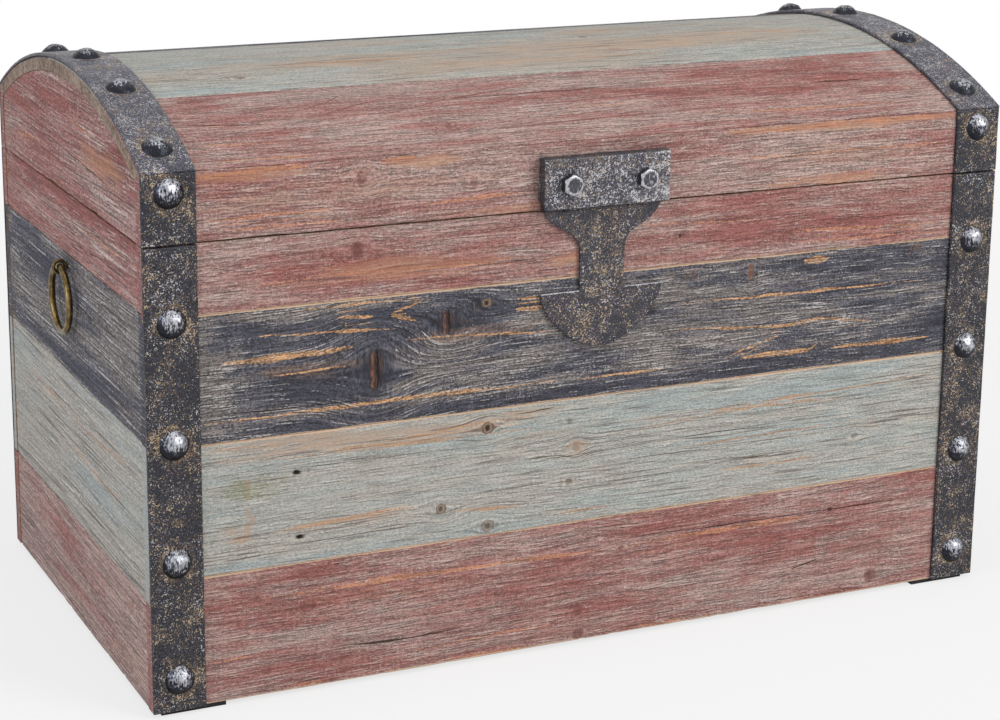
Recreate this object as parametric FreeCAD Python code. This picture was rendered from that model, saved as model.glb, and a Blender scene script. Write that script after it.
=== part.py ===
import FreeCAD, Part
import math
import os
from FreeCAD import Rotation, Vector

# Arched wooden trunk with strap bands, domed studs, a drop hasp and ring pulls.
# Millimetres. +X to the right, +Y to the back, +Z up. The origin lies on the floor,
# under the middle of the whole trunk from hasp bolts to hinges.

os.makedirs("parts", exist_ok=True)

# Wooden box
LENGTH = 610.0
DEPTH = 337.0
BODY_HEIGHT = 295.6
BOARD = 9.0
EDGE_EASE = 0.8
FRONT_SEAMS = (0.2855, 0.5727, 0.8501)
END_SEAMS = (0.2409, 0.5853, 0.8623)
POST = 18.0
POST_BELOW_RIM = 2.0
CLEAT_WIDTH = 12.0
CLEAT_HEIGHT = 10.0
FLOOR = 5.0
FLOOR_CLEARANCE = 0.4
PAD_SIDE = 42.0
PAD_THICKNESS = 3.0
PAD_INSET_END = 6.0
PAD_INSET_FRONT = 2.0

# Lid
SEAM = 0.8
LID_SIDE = 43.6
LID_RISE = 41.5
ARCH_BOARD = 9.0
ARCH_SEAMS = (-0.513, 0.18, 0.592)
BLOCK_CLEARANCE = 2.0

# Strap bands and domed studs
STRAP_WIDTH = 34.0
STRAP = 2.5
STUD_RADIUS = 9.5
STUD_HEIGHT = 6.0
NAIL_RADIUS = 1.6
NAIL_IN_POST = 6.0
NAIL_IN_ARCH = 7.0
BODY_STUD_SHARES = (0.0697, 0.3268, 0.5839, 0.841)
LID_STUD_SHARE = 0.72
ARCH_STUD_SHARES = (-0.877, -0.4386, 0.0, 0.4386, 0.877)

# Wood screws with slotted round heads
SCREW_RADIUS = 1.6
SCREW_HEAD_RADIUS = 3.2
SCREW_HEAD_HEIGHT = 1.8
SCREW_SLOT = 0.8
SCREW_BITE = 7.0

# Back hinges with stop heels
HINGE_X_SHARE = 0.59
LEAF_WIDTH = 60.0
LEAF_HEIGHT = 32.0
LEAF = 2.0
BARREL_RADIUS = 3.5
HINGE_PIN_RADIUS = 1.5
PIN_HEAD_RADIUS = 2.4
PIN_HEAD = 1.2
KNUCKLE_SHARES = (-0.5, -0.19, 0.19, 0.5)
KNUCKLE_GAP = 0.3
LEAF_GAP = 0.8
HEEL_WIDTH = 20.0
HEEL_START = 4.6
HEEL_REACH = 11.0
HEEL_FOOT = 15.0
HEEL_BACK = 3.0
STOP_ANGLE = 100.0
LEAF_SCREWS = ((-20.0, 18.0), (20.0, 18.0), (0.0, 24.0))

# Drop hasp
HASP_WIDTH = 90.5
HASP_HEIGHT = 33.5
HASP_ABOVE_SEAM = 1.0
HASP_LEAF = 2.0
COVER = 7.0
COVER_EASE = 1.0
COVER_FRONT_WALL = 1.5
COVER_END_WALL = 2.2
TONGUE = 2.0
TONGUE_GAP = 0.4
TONGUE_SHARE = 0.9724
TONGUE_DROP = 94.0
HASP_BARREL = 3.0
HASP_PIN_RADIUS = 1.2
HASP_AXIS_RISE = 1.6
HASP_AXIS_OUT = 4.4
HASP_KNUCKLES = ((-0.66, -0.36), (0.36, 0.66))
TONGUE_REACH = 0.935
BOLT_SHARE = 0.597
BOLT_RISE = 16.5
BOLT_RADIUS = 4.0
BOLT_ACROSS = 13.0
BOLT_HEAD = 5.5
NUT = 6.5
WASHER_RADIUS = 8.0
WASHER = 1.6
BOLT_END = 1.5

# Outline of the right half of the tongue, from its shoulder to the top of its blade and
# from the tip of the blade to its lowest point: shares of the blade's half width and of TONGUE_DROP.
TONGUE_FLARE = (
    (0.955, 0.024),
    (0.916, 0.054),
    (0.834, 0.098),
    (0.698, 0.144),
    (0.537, 0.185),
    (0.441, 0.224),
    (0.391, 0.266),
    (0.368, 0.324),
)
TONGUE_STEM = (0.364, 0.584)
TONGUE_BLADE = (
    (1.0, 0.584),
    (0.966, 0.665),
    (0.838, 0.767),
    (0.648, 0.865),
    (0.4, 0.945),
    (0.18, 0.988),
    (0.0, 1.0),
)

# Ring pulls
RING_RADIUS = 21.75
RING_WIRE = 2.25
EYE_LOOP = 4.0
EYE_WIRE = 1.2
EYE_OFF_WALL = 0.1
EYE_HEIGHT_SHARE = 0.8356
EYE_SHANK = 1.5
EYE_NUT_ACROSS = 5.5
EYE_NUT = 2.4
EYE_WASHER_RADIUS = 4.5
EYE_WASHER = 1.0
EYE_END = 1.0

# Fits
HOLE_CLEARANCE = 0.05
LAP_CLEARANCE = 0.1
RUNNING_CLEARANCE = 0.05

X_AXIS = Vector(1, 0, 0)
Y_AXIS = Vector(0, 1, 0)
Z_AXIS = Vector(0, 0, 1)

half_length = LENGTH / 2
half_depth = DEPTH / 2
wood_low = PAD_THICKNESS
rim = wood_low + BODY_HEIGHT
lid_low = rim + SEAM
corner = lid_low + LID_SIDE
crest = corner + LID_RISE
arch_radius = (half_depth ** 2 + LID_RISE ** 2) / (2 * LID_RISE)
arch_centre = crest - arch_radius
arch_inner = arch_radius - ARCH_BOARD
arch_half_angle = math.asin(half_depth / arch_radius)
inner_half_depth = half_depth - BOARD
inner_half_length = half_length - BOARD
floor_low = wood_low + CLEAT_HEIGHT
floor_top = floor_low + FLOOR
strap_face = half_depth + STRAP
strap_mid = half_length - STRAP_WIDTH / 2
front_proud = HASP_LEAF + COVER + BOLT_HEAD
back_proud = BARREL_RADIUS + HEEL_REACH * math.cos(math.radians(STOP_ANGLE / 2))
middle_shift = (front_proud - back_proud) / 2


def arc_height(radius, y):
    return arch_centre + math.sqrt(radius ** 2 - y ** 2)


inner_corner = arc_height(arch_inner, inner_half_depth)
block_top = inner_corner - BLOCK_CLEARANCE


def box(x_span, y_span, z_span):
    corner_point = Vector(min(x_span), min(y_span), min(z_span))
    return Part.makeBox(abs(x_span[1] - x_span[0]), abs(y_span[1] - y_span[0]),
                        abs(z_span[1] - z_span[0]), corner_point)


def prism(points, push):
    wire = Part.makePolygon(list(points) + [points[0]])
    return Part.Face(wire).extrude(push)


def rod(radius, start, end):
    along = end.sub(start)
    return Part.makeCylinder(radius, along.Length, start, along)


def hexagon(across, start, end, point_up):
    along = end.sub(start)
    side = along.cross(point_up)
    side.normalize()
    reach = across / math.sqrt(3)
    points = []
    for step in range(6):
        turn = math.radians(60 * step)
        points.append(start + point_up * (reach * math.cos(turn)) + side * (reach * math.sin(turn)))
    return prism(points, along)


def dome(radius, height, shank_radius, shank, base, outward):
    ball = (radius ** 2 + height ** 2) / (2 * height)
    mid_turn = math.asin(radius / ball) / 2
    top = Vector(0, 0, height)
    mid = Vector(ball * math.sin(mid_turn), 0, height - ball * (1 - math.cos(mid_turn)))
    edge = Vector(radius, 0, 0)
    rest = [edge, Vector(shank_radius, 0, 0), Vector(shank_radius, 0, -shank), Vector(0, 0, -shank), top]
    wire = Part.Wire([Part.Arc(top, mid, edge).toShape()] + Part.makePolygon(rest).Edges)
    solid = Part.Face(wire).revolve(Vector(0, 0, 0), Z_AXIS, 360)
    solid.Placement = FreeCAD.Placement(base, Rotation(Z_AXIS, outward))
    return solid


def wood_screw(base, outward, through):
    shank = through + SCREW_BITE
    screw = dome(SCREW_HEAD_RADIUS, SCREW_HEAD_HEIGHT, SCREW_RADIUS, shank, base, outward)
    slot = Part.makeBox(4 * SCREW_HEAD_RADIUS, SCREW_SLOT, SCREW_HEAD_HEIGHT)
    slot.translate(Vector(-2 * SCREW_HEAD_RADIUS, -SCREW_SLOT / 2, SCREW_HEAD_HEIGHT / 2))
    slot.Placement = FreeCAD.Placement(base, Rotation(Z_AXIS, outward)).multiply(slot.Placement)
    return screw.cut(slot)


def nail_hole(radius, base, outward, depth):
    return rod(radius + HOLE_CLEARANCE, base + outward, base - outward * (depth + HOLE_CLEARANCE))


def without(shape, tools):
    near = [tool for tool in tools if shape.BoundBox.intersect(tool.BoundBox)]
    return shape.cut(near) if near else shape


def save(name, shape):
    placed = shape.copy()
    placed.translate(Vector(0, middle_shift, 0))
    placed.exportStep("parts/" + name + ".step")


def save_group(name, shapes):
    save(name, Part.makeCompound(shapes))


# Domed studs. Each nail runs through strap and board, and at the corners into the post behind.
front_way = Vector(0, -1, 0)
back_way = Vector(0, 1, 0)
side_nail = STRAP + BOARD + NAIL_IN_POST
arch_nail = STRAP + NAIL_IN_ARCH
body_stud_heights = [wood_low + BODY_HEIGHT * share for share in BODY_STUD_SHARES]
lid_stud_height = lid_low + LID_SIDE * LID_STUD_SHARE

body_stud_seats = []
lid_stud_seats = []
for x in (-strap_mid, strap_mid):
    for way in (front_way, back_way):
        for height in body_stud_heights:
            body_stud_seats.append((Vector(x, way.y * strap_face, height), way, side_nail))
        lid_stud_seats.append((Vector(x, way.y * strap_face, lid_stud_height), way, side_nail))
    for share in ARCH_STUD_SHARES:
        turn = share * arch_half_angle
        way = Vector(0, math.sin(turn), math.cos(turn))
        lid_stud_seats.append((Vector(x, 0, arch_centre) + way * (arch_radius + STRAP), way, arch_nail))


def studs(seats):
    return [dome(STUD_RADIUS, STUD_HEIGHT, NAIL_RADIUS, nail, base, way) for base, way, nail in seats]


def stud_holes(seats):
    return [nail_hole(NAIL_RADIUS, base, way, nail) for base, way, nail in seats]


body_nail_holes = stud_holes(body_stud_seats)
lid_nail_holes = stud_holes(lid_stud_seats)
save_group("body_studs", studs(body_stud_seats))
save_group("lid_studs", studs(lid_stud_seats))

# Seats of the screws that hold the end boards to the posts and blocks inside the corners
end_heights = [wood_low] + [wood_low + BODY_HEIGHT * share for share in END_SEAMS] + [rim]
front_heights = [wood_low] + [wood_low + BODY_HEIGHT * share for share in FRONT_SEAMS] + [rim]
block_low = lid_low + BLOCK_CLEARANCE
post_y = inner_half_depth - POST / 2
post_inside = inner_half_length - POST
post_screw_seats = []
block_screw_seats = []
for sx in (-1, 1):
    for sy in (-1, 1):
        for low, high in zip(end_heights, end_heights[1:]):
            height = max((low + high) / 2, floor_top + 2 * SCREW_HEAD_RADIUS)
            seat = Vector(sx * post_inside, sy * post_y, height)
            post_screw_seats.append((seat, Vector(-sx, 0, 0), POST))
        seat = Vector(sx * post_inside, sy * post_y, (block_low + block_top) / 2)
        block_screw_seats.append((seat, Vector(-sx, 0, 0), POST))

# Back hinges
hinge_y = half_depth + BARREL_RADIUS
hinge_z = rim + SEAM / 2
hinge_centres = (-HINGE_X_SHARE * half_length, HINGE_X_SHARE * half_length)
plate_screw_seats = []
flap_screw_seats = []
for x in hinge_centres:
    for along, away in LEAF_SCREWS:
        plate_screw_seats.append((Vector(x + along, half_depth + LEAF, hinge_z - away), back_way, LEAF))
        flap_screw_seats.append((Vector(x + along, half_depth + LEAF, hinge_z + away), back_way, LEAF))


def screws(seats):
    return [wood_screw(base, way, through) for base, way, through in seats]


def screw_holes(seats):
    return [nail_hole(SCREW_RADIUS, base, way, through + SCREW_BITE) for base, way, through in seats]


post_screw_holes = screw_holes(post_screw_seats)
block_screw_holes = screw_holes(block_screw_seats)
plate_screw_holes = screw_holes(plate_screw_seats)
flap_screw_holes = screw_holes(flap_screw_seats)
save_group("post_screws", screws(post_screw_seats))
save_group("block_screws", screws(block_screw_seats))
save_group("plate_screws", screws(plate_screw_seats))
save_group("flap_screws", screws(flap_screw_seats))


def leaf(centre, up):
    top = BARREL_RADIUS + LEAF_GAP
    plate = box((centre - LEAF_WIDTH / 2, centre + LEAF_WIDTH / 2), (half_depth, half_depth + LEAF),
                (hinge_z + up * top, hinge_z + up * LEAF_HEIGHT))
    marks = [centre + share * LEAF_WIDTH for share in KNUCKLE_SHARES]
    spans = [(marks[1] + KNUCKLE_GAP, marks[2] - KNUCKLE_GAP)]
    if up < 0:
        spans = [(marks[0], marks[1]), (marks[2], marks[3])]
    for start, end in spans:
        neck = box((start, end), (half_depth, half_depth + LEAF), (hinge_z, hinge_z + up * top))
        knuckle = rod(BARREL_RADIUS, Vector(start, hinge_y, hinge_z), Vector(end, hinge_y, hinge_z))
        plate = plate.fuse(neck).fuse(knuckle)
    stop = math.radians(STOP_ANGLE / 2)
    face_y = half_depth + LEAF - hinge_y
    section = [
        (HEEL_START * math.cos(stop), HEEL_START * math.sin(stop)),
        (HEEL_REACH * math.cos(stop), HEEL_REACH * math.sin(stop)),
        (HEEL_BACK, HEEL_FOOT),
        (face_y, HEEL_FOOT),
        (face_y, top),
    ]
    start = centre - HEEL_WIDTH / 2
    points = [Vector(start, hinge_y + y, hinge_z + up * z) for y, z in section]
    plate = plate.fuse(prism(points, X_AXIS * HEEL_WIDTH))
    reach = LEAF_WIDTH / 2 + PIN_HEAD
    bore = rod(HINGE_PIN_RADIUS + RUNNING_CLEARANCE, Vector(centre - reach, hinge_y, hinge_z),
               Vector(centre + reach, hinge_y, hinge_z))
    return plate.cut(bore).removeSplitter()


for name, x in zip(("left", "right"), hinge_centres):
    save("hinge_plate_" + name, without(leaf(x, -1), plate_screw_holes))
    save("hinge_flap_" + name, without(leaf(x, 1), flap_screw_holes))

pins = []
for x in hinge_centres:
    reach = LEAF_WIDTH / 2 + RUNNING_CLEARANCE
    start = Vector(x - reach, hinge_y, hinge_z)
    end = Vector(x + reach, hinge_y, hinge_z)
    pin = rod(HINGE_PIN_RADIUS, start, end)
    pin = pin.fuse(rod(PIN_HEAD_RADIUS, start - X_AXIS * PIN_HEAD, start))
    pin = pin.fuse(rod(PIN_HEAD_RADIUS, end, end + X_AXIS * PIN_HEAD))
    pins.append(pin.removeSplitter())
save_group("hinge_pins", pins)

# Ring pulls on eye bolts
eye_z = wood_low + BODY_HEIGHT * EYE_HEIGHT_SHARE
eye_x = half_length + EYE_LOOP + EYE_WIRE + EYE_OFF_WALL
eyes = []
eye_nuts = []
eye_holes = []
for name, sx in (("left", -1), ("right", 1)):
    inward = Vector(-sx, 0, 0)
    centre = Vector(sx * eye_x, 0, eye_z)
    wall = Vector(sx * inner_half_length, 0, eye_z)
    washer_end = wall + inward * EYE_WASHER
    nut_end = washer_end + inward * EYE_NUT
    loop = Part.makeTorus(EYE_LOOP, EYE_WIRE, centre, Y_AXIS)
    shank_start = centre + inward * EYE_LOOP
    shank_end = nut_end + inward * EYE_END
    eyes.append(loop.fuse(rod(EYE_SHANK, shank_start, shank_end)).removeSplitter())
    hole = rod(EYE_SHANK + HOLE_CLEARANCE, shank_start, shank_end)
    eye_holes.append(hole)
    eye_nuts.append(rod(EYE_WASHER_RADIUS, wall, washer_end).cut(hole))
    eye_nuts.append(hexagon(EYE_NUT_ACROSS, washer_end, nut_end, Z_AXIS).cut(hole))
    ring_centre = centre - Z_AXIS * RING_RADIUS
    save("ring_" + name, Part.makeTorus(RING_RADIUS, RING_WIRE, ring_centre, X_AXIS))
save_group("ring_eyes", eyes)
save_group("ring_eye_nuts", eye_nuts)


# Boards of the box: the front and back boards run the full length over the ends of the end boards.
def eased_section(outer, inner, low, high):
    step = EDGE_EASE if outer < inner else -EDGE_EASE
    return [(inner, low), (outer + step, low), (outer, low + EDGE_EASE),
            (outer, high - EDGE_EASE), (outer + step, high), (inner, high)]


for name, sy in (("front", -1), ("back", 1)):
    holes = body_nail_holes + (plate_screw_holes if sy > 0 else [])
    for number, (low, high) in enumerate(zip(front_heights, front_heights[1:]), 1):
        section = eased_section(sy * half_depth, sy * inner_half_depth, low, high)
        board = prism([Vector(-half_length, y, z) for y, z in section], X_AXIS * LENGTH)
        save(name + "_plank_" + str(number), without(board, holes))

for name, sx in (("left", -1), ("right", 1)):
    for number, (low, high) in enumerate(zip(end_heights, end_heights[1:]), 1):
        section = eased_section(sx * half_length, sx * inner_half_length, low, high)
        points = [Vector(x, -inner_half_depth, z) for x, z in section]
        board = prism(points, Y_AXIS * (2 * inner_half_depth))
        save(name + "_plank_" + str(number), without(board, eye_holes + post_screw_holes))

# Floor, its cleats, the corner posts and the pads under the corners
floor_x = inner_half_length - FLOOR_CLEARANCE
floor_y = inner_half_depth - FLOOR_CLEARANCE
save("floor_panel", box((-floor_x, floor_x), (-floor_y, floor_y), (floor_low, floor_top)))

cleats = []
posts = []
pads = []
cleat_in = inner_half_depth - CLEAT_WIDTH
for s in (-1, 1):
    cleats.append(box((-inner_half_length, inner_half_length), (s * inner_half_depth, s * cleat_in),
                      (wood_low, floor_low)))
    cleats.append(box((s * inner_half_length, s * (inner_half_length - CLEAT_WIDTH)), (-cleat_in, cleat_in),
                      (wood_low, floor_low)))
    for sy in (-1, 1):
        post_span = (sy * inner_half_depth, sy * (inner_half_depth - POST))
        post = box((s * inner_half_length, s * post_inside), post_span, (floor_top, rim - POST_BELOW_RIM))
        posts.append(without(post, body_nail_holes + post_screw_holes))
        pad_x = s * (half_length - PAD_INSET_END)
        pad_y = sy * (half_depth - PAD_INSET_FRONT)
        pads.append(box((pad_x, pad_x - s * PAD_SIDE), (pad_y, pad_y - sy * PAD_SIDE), (0, wood_low)))
save_group("floor_cleats", cleats)
save_group("corner_posts", posts)
save_group("foot_pads", pads)

# Straps on the box and on the upright sides of the lid. The lid ones end under the arched strap.
for x_name, sx in (("left", -1), ("right", 1)):
    x_span = (sx * half_length, sx * (half_length - STRAP_WIDTH))
    for y_name, sy in (("front", -1), ("back", 1)):
        lower = box(x_span, (sy * half_depth, sy * strap_face), (wood_low, rim))
        save("strap_" + y_name + "_" + x_name, without(lower, body_nail_holes))
        section = [(half_depth, lid_low), (strap_face, lid_low),
                   (strap_face, arc_height(arch_radius, strap_face) - LAP_CLEARANCE),
                   (half_depth, corner - LAP_CLEARANCE)]
        upper = prism([Vector(min(x_span), sy * y, z) for y, z in section], X_AXIS * STRAP_WIDTH)
        save("lid_strap_" + y_name + "_" + x_name, without(upper, lid_nail_holes))


def arch_point(radius, turn, x):
    return Vector(x, radius * math.sin(turn), arch_centre + radius * math.cos(turn))


def arch_edge(radius, start, end, x):
    return Part.Arc(arch_point(radius, start, x), arch_point(radius, (start + end) / 2, x),
                    arch_point(radius, end, x)).toShape()


def arched(outer, inner, x_start, width):
    top = arch_edge(outer[0], outer[1], outer[2], x_start)
    bottom = arch_edge(inner[0], inner[1], inner[2], x_start)
    sides = []
    for side in (0, 1):
        high = arch_point(outer[0], outer[1 + side], x_start)
        low = arch_point(inner[0], inner[1 + side], x_start)
        sides.append(Part.makeLine(high, low))
    wire = Part.Wire(Part.sortEdges([top, sides[1], bottom, sides[0]])[0])
    return Part.Face(wire).extrude(X_AXIS * width)


strap_outer_turn = math.asin(strap_face / (arch_radius + STRAP))
strap_inner_turn = math.asin(strap_face / arch_radius)
for name, x in (("left", -half_length), ("right", half_length - STRAP_WIDTH)):
    band = arched((arch_radius + STRAP, -strap_outer_turn, strap_outer_turn),
                  (arch_radius, -strap_inner_turn, strap_inner_turn), x, STRAP_WIDTH)
    save("arch_strap_" + name, without(band, lid_nail_holes))

# Arched boards of the lid, mitred to the rails at the front and back corners
inner_turn = math.asin(inner_half_depth / arch_inner)
seam_turns = [share * arch_half_angle for share in ARCH_SEAMS]
outer_turns = [-arch_half_angle] + seam_turns + [arch_half_angle]
inner_turns = [-inner_turn] + seam_turns + [inner_turn]
grooves = []
for turn in seam_turns:
    half_turn = EDGE_EASE / arch_radius
    lip = arch_radius + EDGE_EASE
    points = [
        arch_point(lip, turn - 2 * half_turn, -half_length),
        arch_point(lip, turn + 2 * half_turn, -half_length),
        arch_point(arch_radius - EDGE_EASE, turn, -half_length),
    ]
    grooves.append(prism(points, X_AXIS * LENGTH))
for index in range(len(outer_turns) - 1):
    board = arched((arch_radius, outer_turns[index], outer_turns[index + 1]),
                   (arch_inner, inner_turns[index], inner_turns[index + 1]), -half_length, LENGTH)
    save("arch_board_" + str(index + 1), without(board, lid_nail_holes + grooves))

# Hasp bolts and the holes that they need
cover_low = lid_low + HASP_ABOVE_SEAM
cover_high = cover_low + HASP_HEIGHT
leaf_face = -half_depth - HASP_LEAF
cover_face = leaf_face - COVER
bolt_z = cover_low + BOLT_RISE
half_cover = HASP_WIDTH / 2
bolt_x = BOLT_SHARE * half_cover
bolts = []
nuts = []
bolt_holes = []
for x in (-bolt_x, bolt_x):
    seat = Vector(x, cover_face, bolt_z)
    top = seat + front_way * BOLT_HEAD
    washer_start = Vector(x, -inner_half_depth, bolt_z)
    nut_start = washer_start + back_way * WASHER
    nut_end = nut_start + back_way * NUT
    hole = rod(BOLT_RADIUS + HOLE_CLEARANCE, seat, nut_end + back_way * BOLT_END)
    head = hexagon(BOLT_ACROSS, seat, top, Z_AXIS)
    wide = BOLT_ACROSS / 2 + BOLT_HEAD
    narrow = BOLT_ACROSS / 2 - BOLT_HEAD / 10
    head = head.common(Part.makeCone(wide, narrow, BOLT_HEAD, seat, front_way))
    shank = rod(BOLT_RADIUS, seat, nut_end + back_way * BOLT_END)
    bolts.append(head.fuse(shank).removeSplitter())
    nuts.append(rod(WASHER_RADIUS, washer_start, nut_start).cut(hole))
    nuts.append(hexagon(BOLT_ACROSS, nut_start, nut_end, Z_AXIS).cut(hole))
    bolt_holes.append(hole)
save_group("hasp_bolts", bolts)
save_group("hasp_nuts", nuts)

# Rails and end panels of the lid, and the blocks inside its corners
for name, sy in (("front", -1), ("back", 1)):
    section = [(half_depth, lid_low + EDGE_EASE), (half_depth, corner), (inner_half_depth, inner_corner),
               (inner_half_depth, lid_low), (half_depth - EDGE_EASE, lid_low)]
    rail = prism([Vector(-half_length, sy * y, z) for y, z in section], X_AXIS * LENGTH)
    holes = lid_nail_holes + (flap_screw_holes if sy > 0 else bolt_holes)
    save("lid_" + name + "_rail", without(rail, holes))

for name, x in (("left", -half_length), ("right", inner_half_length)):
    top = arch_edge(arch_inner, -inner_turn, inner_turn, x)
    sill = [Vector(x, inner_half_depth, inner_corner), Vector(x, inner_half_depth, lid_low),
            Vector(x, -inner_half_depth, lid_low), Vector(x, -inner_half_depth, inner_corner)]
    wire = Part.Wire(Part.sortEdges([top] + Part.makePolygon(sill).Edges)[0])
    panel = Part.Face(wire).extrude(X_AXIS * BOARD)
    save("lid_" + name + "_end", without(panel, block_screw_holes))

blocks = []
for sx in (-1, 1):
    for sy in (-1, 1):
        block = box((sx * inner_half_length, sx * post_inside),
                    (sy * inner_half_depth, sy * (inner_half_depth - POST)), (block_low, block_top))
        blocks.append(without(block, lid_nail_holes + block_screw_holes))
save_group("lid_blocks", blocks)

# Drop hasp: a leaf bolted to the lid under the cover, a pin behind the cover's lower edge
# and the tongue that swings on it.
axis_y = -half_depth - HASP_AXIS_OUT
axis_z = cover_low + HASP_AXIS_RISE
tongue_half = TONGUE_SHARE * half_cover
tongue_back = -half_depth - TONGUE_GAP
tongue_face = tongue_back - TONGUE
swing = tongue_back - axis_y
leaf_low = axis_z + swing + TONGUE_GAP
groove_half = half_cover - COVER_END_WALL
leaf_spans = [(share[0] * half_cover, share[1] * half_cover) for share in HASP_KNUCKLES]
hasp_bore = rod(HASP_PIN_RADIUS + RUNNING_CLEARANCE, Vector(-half_cover, axis_y, axis_z),
                Vector(half_cover, axis_y, axis_z))

cover = box((-half_cover, half_cover), (leaf_face, cover_face), (cover_low, cover_high))
front_edges = [edge for edge in cover.Edges if edge.BoundBox.YMax < cover_face + TONGUE_GAP]
cover = cover.makeChamfer(COVER_EASE, front_edges)
groove = box((-groove_half, groove_half), (leaf_face, cover_face + COVER_FRONT_WALL),
             (cover_low, axis_z + swing + TONGUE_GAP))
save("hasp_cover", without(cover.cut(groove), bolt_holes))

hasp_leaf = box((-half_cover, half_cover), (-half_depth, leaf_face), (leaf_low, cover_high))
for start, end in leaf_spans:
    hasp_leaf = hasp_leaf.fuse(box((start, end), (-half_depth, leaf_face), (axis_z, leaf_low)))
    hasp_leaf = hasp_leaf.fuse(rod(HASP_BARREL, Vector(start, axis_y, axis_z), Vector(end, axis_y, axis_z)))
hasp_leaf = hasp_leaf.cut(hasp_bore).removeSplitter()
save("hasp_leaf", without(hasp_leaf, bolt_holes))

pin_half = TONGUE_REACH * half_cover
save("hasp_pin", rod(HASP_PIN_RADIUS, Vector(-pin_half, axis_y, axis_z), Vector(pin_half, axis_y, axis_z)))


def tongue_point(share, side):
    return Vector(side * share[0] * tongue_half, tongue_back, cover_low - share[1] * TONGUE_DROP)


def smooth(points):
    curve = Part.BSplineCurve()
    curve.interpolate(points)
    return curve.toShape()


shoulder = TONGUE_FLARE[0][0] * tongue_half
outline = []
for side in (-1, 1):
    flare = [tongue_point(share, side) for share in TONGUE_FLARE]
    crown = Vector(side * shoulder, tongue_back, axis_z)
    stem = tongue_point(TONGUE_STEM, side)
    outline.append(Part.makeLine(crown, flare[0]))
    outline.append(smooth(flare))
    outline.append(Part.makeLine(flare[-1], stem))
    outline.append(Part.makeLine(stem, tongue_point(TONGUE_BLADE[0], side)))
right_blade = [tongue_point(share, 1) for share in TONGUE_BLADE]
left_blade = [tongue_point(share, -1) for share in TONGUE_BLADE[:-1]]
outline.append(smooth(right_blade + left_blade[::-1]))
outline.append(Part.makeLine(Vector(-shoulder, tongue_back, axis_z), Vector(shoulder, tongue_back, axis_z)))
tongue = Part.Face(Part.Wire(Part.sortEdges(outline)[0])).extrude(front_way * TONGUE)
notch_low = axis_z - HASP_BARREL - KNUCKLE_GAP
for start, end in leaf_spans:
    notch_span = (start - KNUCKLE_GAP, end + KNUCKLE_GAP)
    tongue = tongue.cut(box(notch_span, (tongue_back, tongue_face), (notch_low, axis_z)))
marks = [-shoulder]
for start, end in leaf_spans:
    marks += [start - KNUCKLE_GAP, end + KNUCKLE_GAP]
marks.append(shoulder)
for start, end in zip(marks[::2], marks[1::2]):
    tongue = tongue.fuse(rod(HASP_BARREL, Vector(start, axis_y, axis_z), Vector(end, axis_y, axis_z)))
save("hasp_tongue", tongue.cut(hasp_bore).removeSplitter())
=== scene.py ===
"""Dresses the painted plank trunk: limed boards, hammered bands, studs, hasp, hinges and ring pulls."""
import math

import bmesh
import bpy
import numpy as np
from bpy.props import FloatProperty, FloatVectorProperty, IntProperty, PointerProperty
from mathutils import Matrix, Vector


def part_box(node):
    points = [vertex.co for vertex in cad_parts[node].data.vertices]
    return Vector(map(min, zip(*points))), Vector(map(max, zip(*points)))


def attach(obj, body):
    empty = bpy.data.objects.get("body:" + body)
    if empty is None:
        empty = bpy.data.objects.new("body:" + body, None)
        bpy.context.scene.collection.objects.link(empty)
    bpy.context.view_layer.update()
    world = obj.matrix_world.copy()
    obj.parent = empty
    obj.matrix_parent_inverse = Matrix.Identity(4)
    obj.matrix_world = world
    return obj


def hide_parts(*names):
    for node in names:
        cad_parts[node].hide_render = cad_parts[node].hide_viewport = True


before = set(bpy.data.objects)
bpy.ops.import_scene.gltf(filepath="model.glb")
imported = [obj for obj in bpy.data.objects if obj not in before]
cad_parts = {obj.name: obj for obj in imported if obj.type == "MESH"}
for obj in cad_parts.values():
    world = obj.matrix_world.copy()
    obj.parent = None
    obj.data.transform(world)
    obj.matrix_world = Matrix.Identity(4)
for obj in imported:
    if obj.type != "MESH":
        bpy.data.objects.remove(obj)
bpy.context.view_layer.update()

bl_info = {
    "name": "Painted Plank Trunk",
    "version": (1, 0, 0),
    "blender": (4, 5, 0),
    "location": "View3D > Sidebar > Trunk",
    "description": "Dresses a plank trunk with limed paint, hammered iron, studs, a hasp and ring pulls",
    "category": "Object",
}

MM = 0.001
MIDDLE_Y = 1.965
ARCH_RADIUS = 362.825
ARCH_CENTRE = 21.675
ARCH_BOARD = 9.0
ARCH_EDGES = (-27.67, -14.19, 4.98, 16.38, 27.67)
ARCH_INNER_CORNER = 26.80
MITRE_DROP = 5.5
STUD_ROW = 288.0
BODY_STUDS = (23.6, 99.6, 175.6, 251.6)
LID_STUD = 330.8
ARCH_STUDS = (-24.27, -12.14, 0.0, 12.14, 24.27)
STUD_SUNK = 0.35
STUD_DENT = 0.0016
FULL_TURN = 6.283
# Paint of the boards, from the floor up, and over the lid from front to back.
ROW_COLOURS = ("red", "green", "blue", "red")
WHITE = (1, 1, 1)
# What a side of a board shows where it isn't the painted face, which is 0.
BARE_SIDE = 1
END_GRAIN = 2
PAINTED_END = 3
# The end boards keep more paint on their edges, and their grain is coarser.
END_KEPT = 1.9
END_STRETCH = 2.2
BAND_CLEARANCE = 0.1
# Near black, used as grime on the painted ends and as the painted shadow beside each stroke of lime.
GRIME_AND_SHADOW = (.02, .016, .016)


def shade(red, green, blue):
    """A colour picked on a screen, as the linear values that materials take."""
    tone = []
    for value in (red, green, blue):
        share = value / 255.0
        tone.append(share / 12.92 if share <= 0.04045 else ((share + 0.055) / 1.055) ** 2.4)
    return tuple(tone)


def arc(degrees):
    """Length along the lid's outer curve from its crest, in millimetres."""
    return ARCH_RADIUS * math.radians(degrees)


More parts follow.
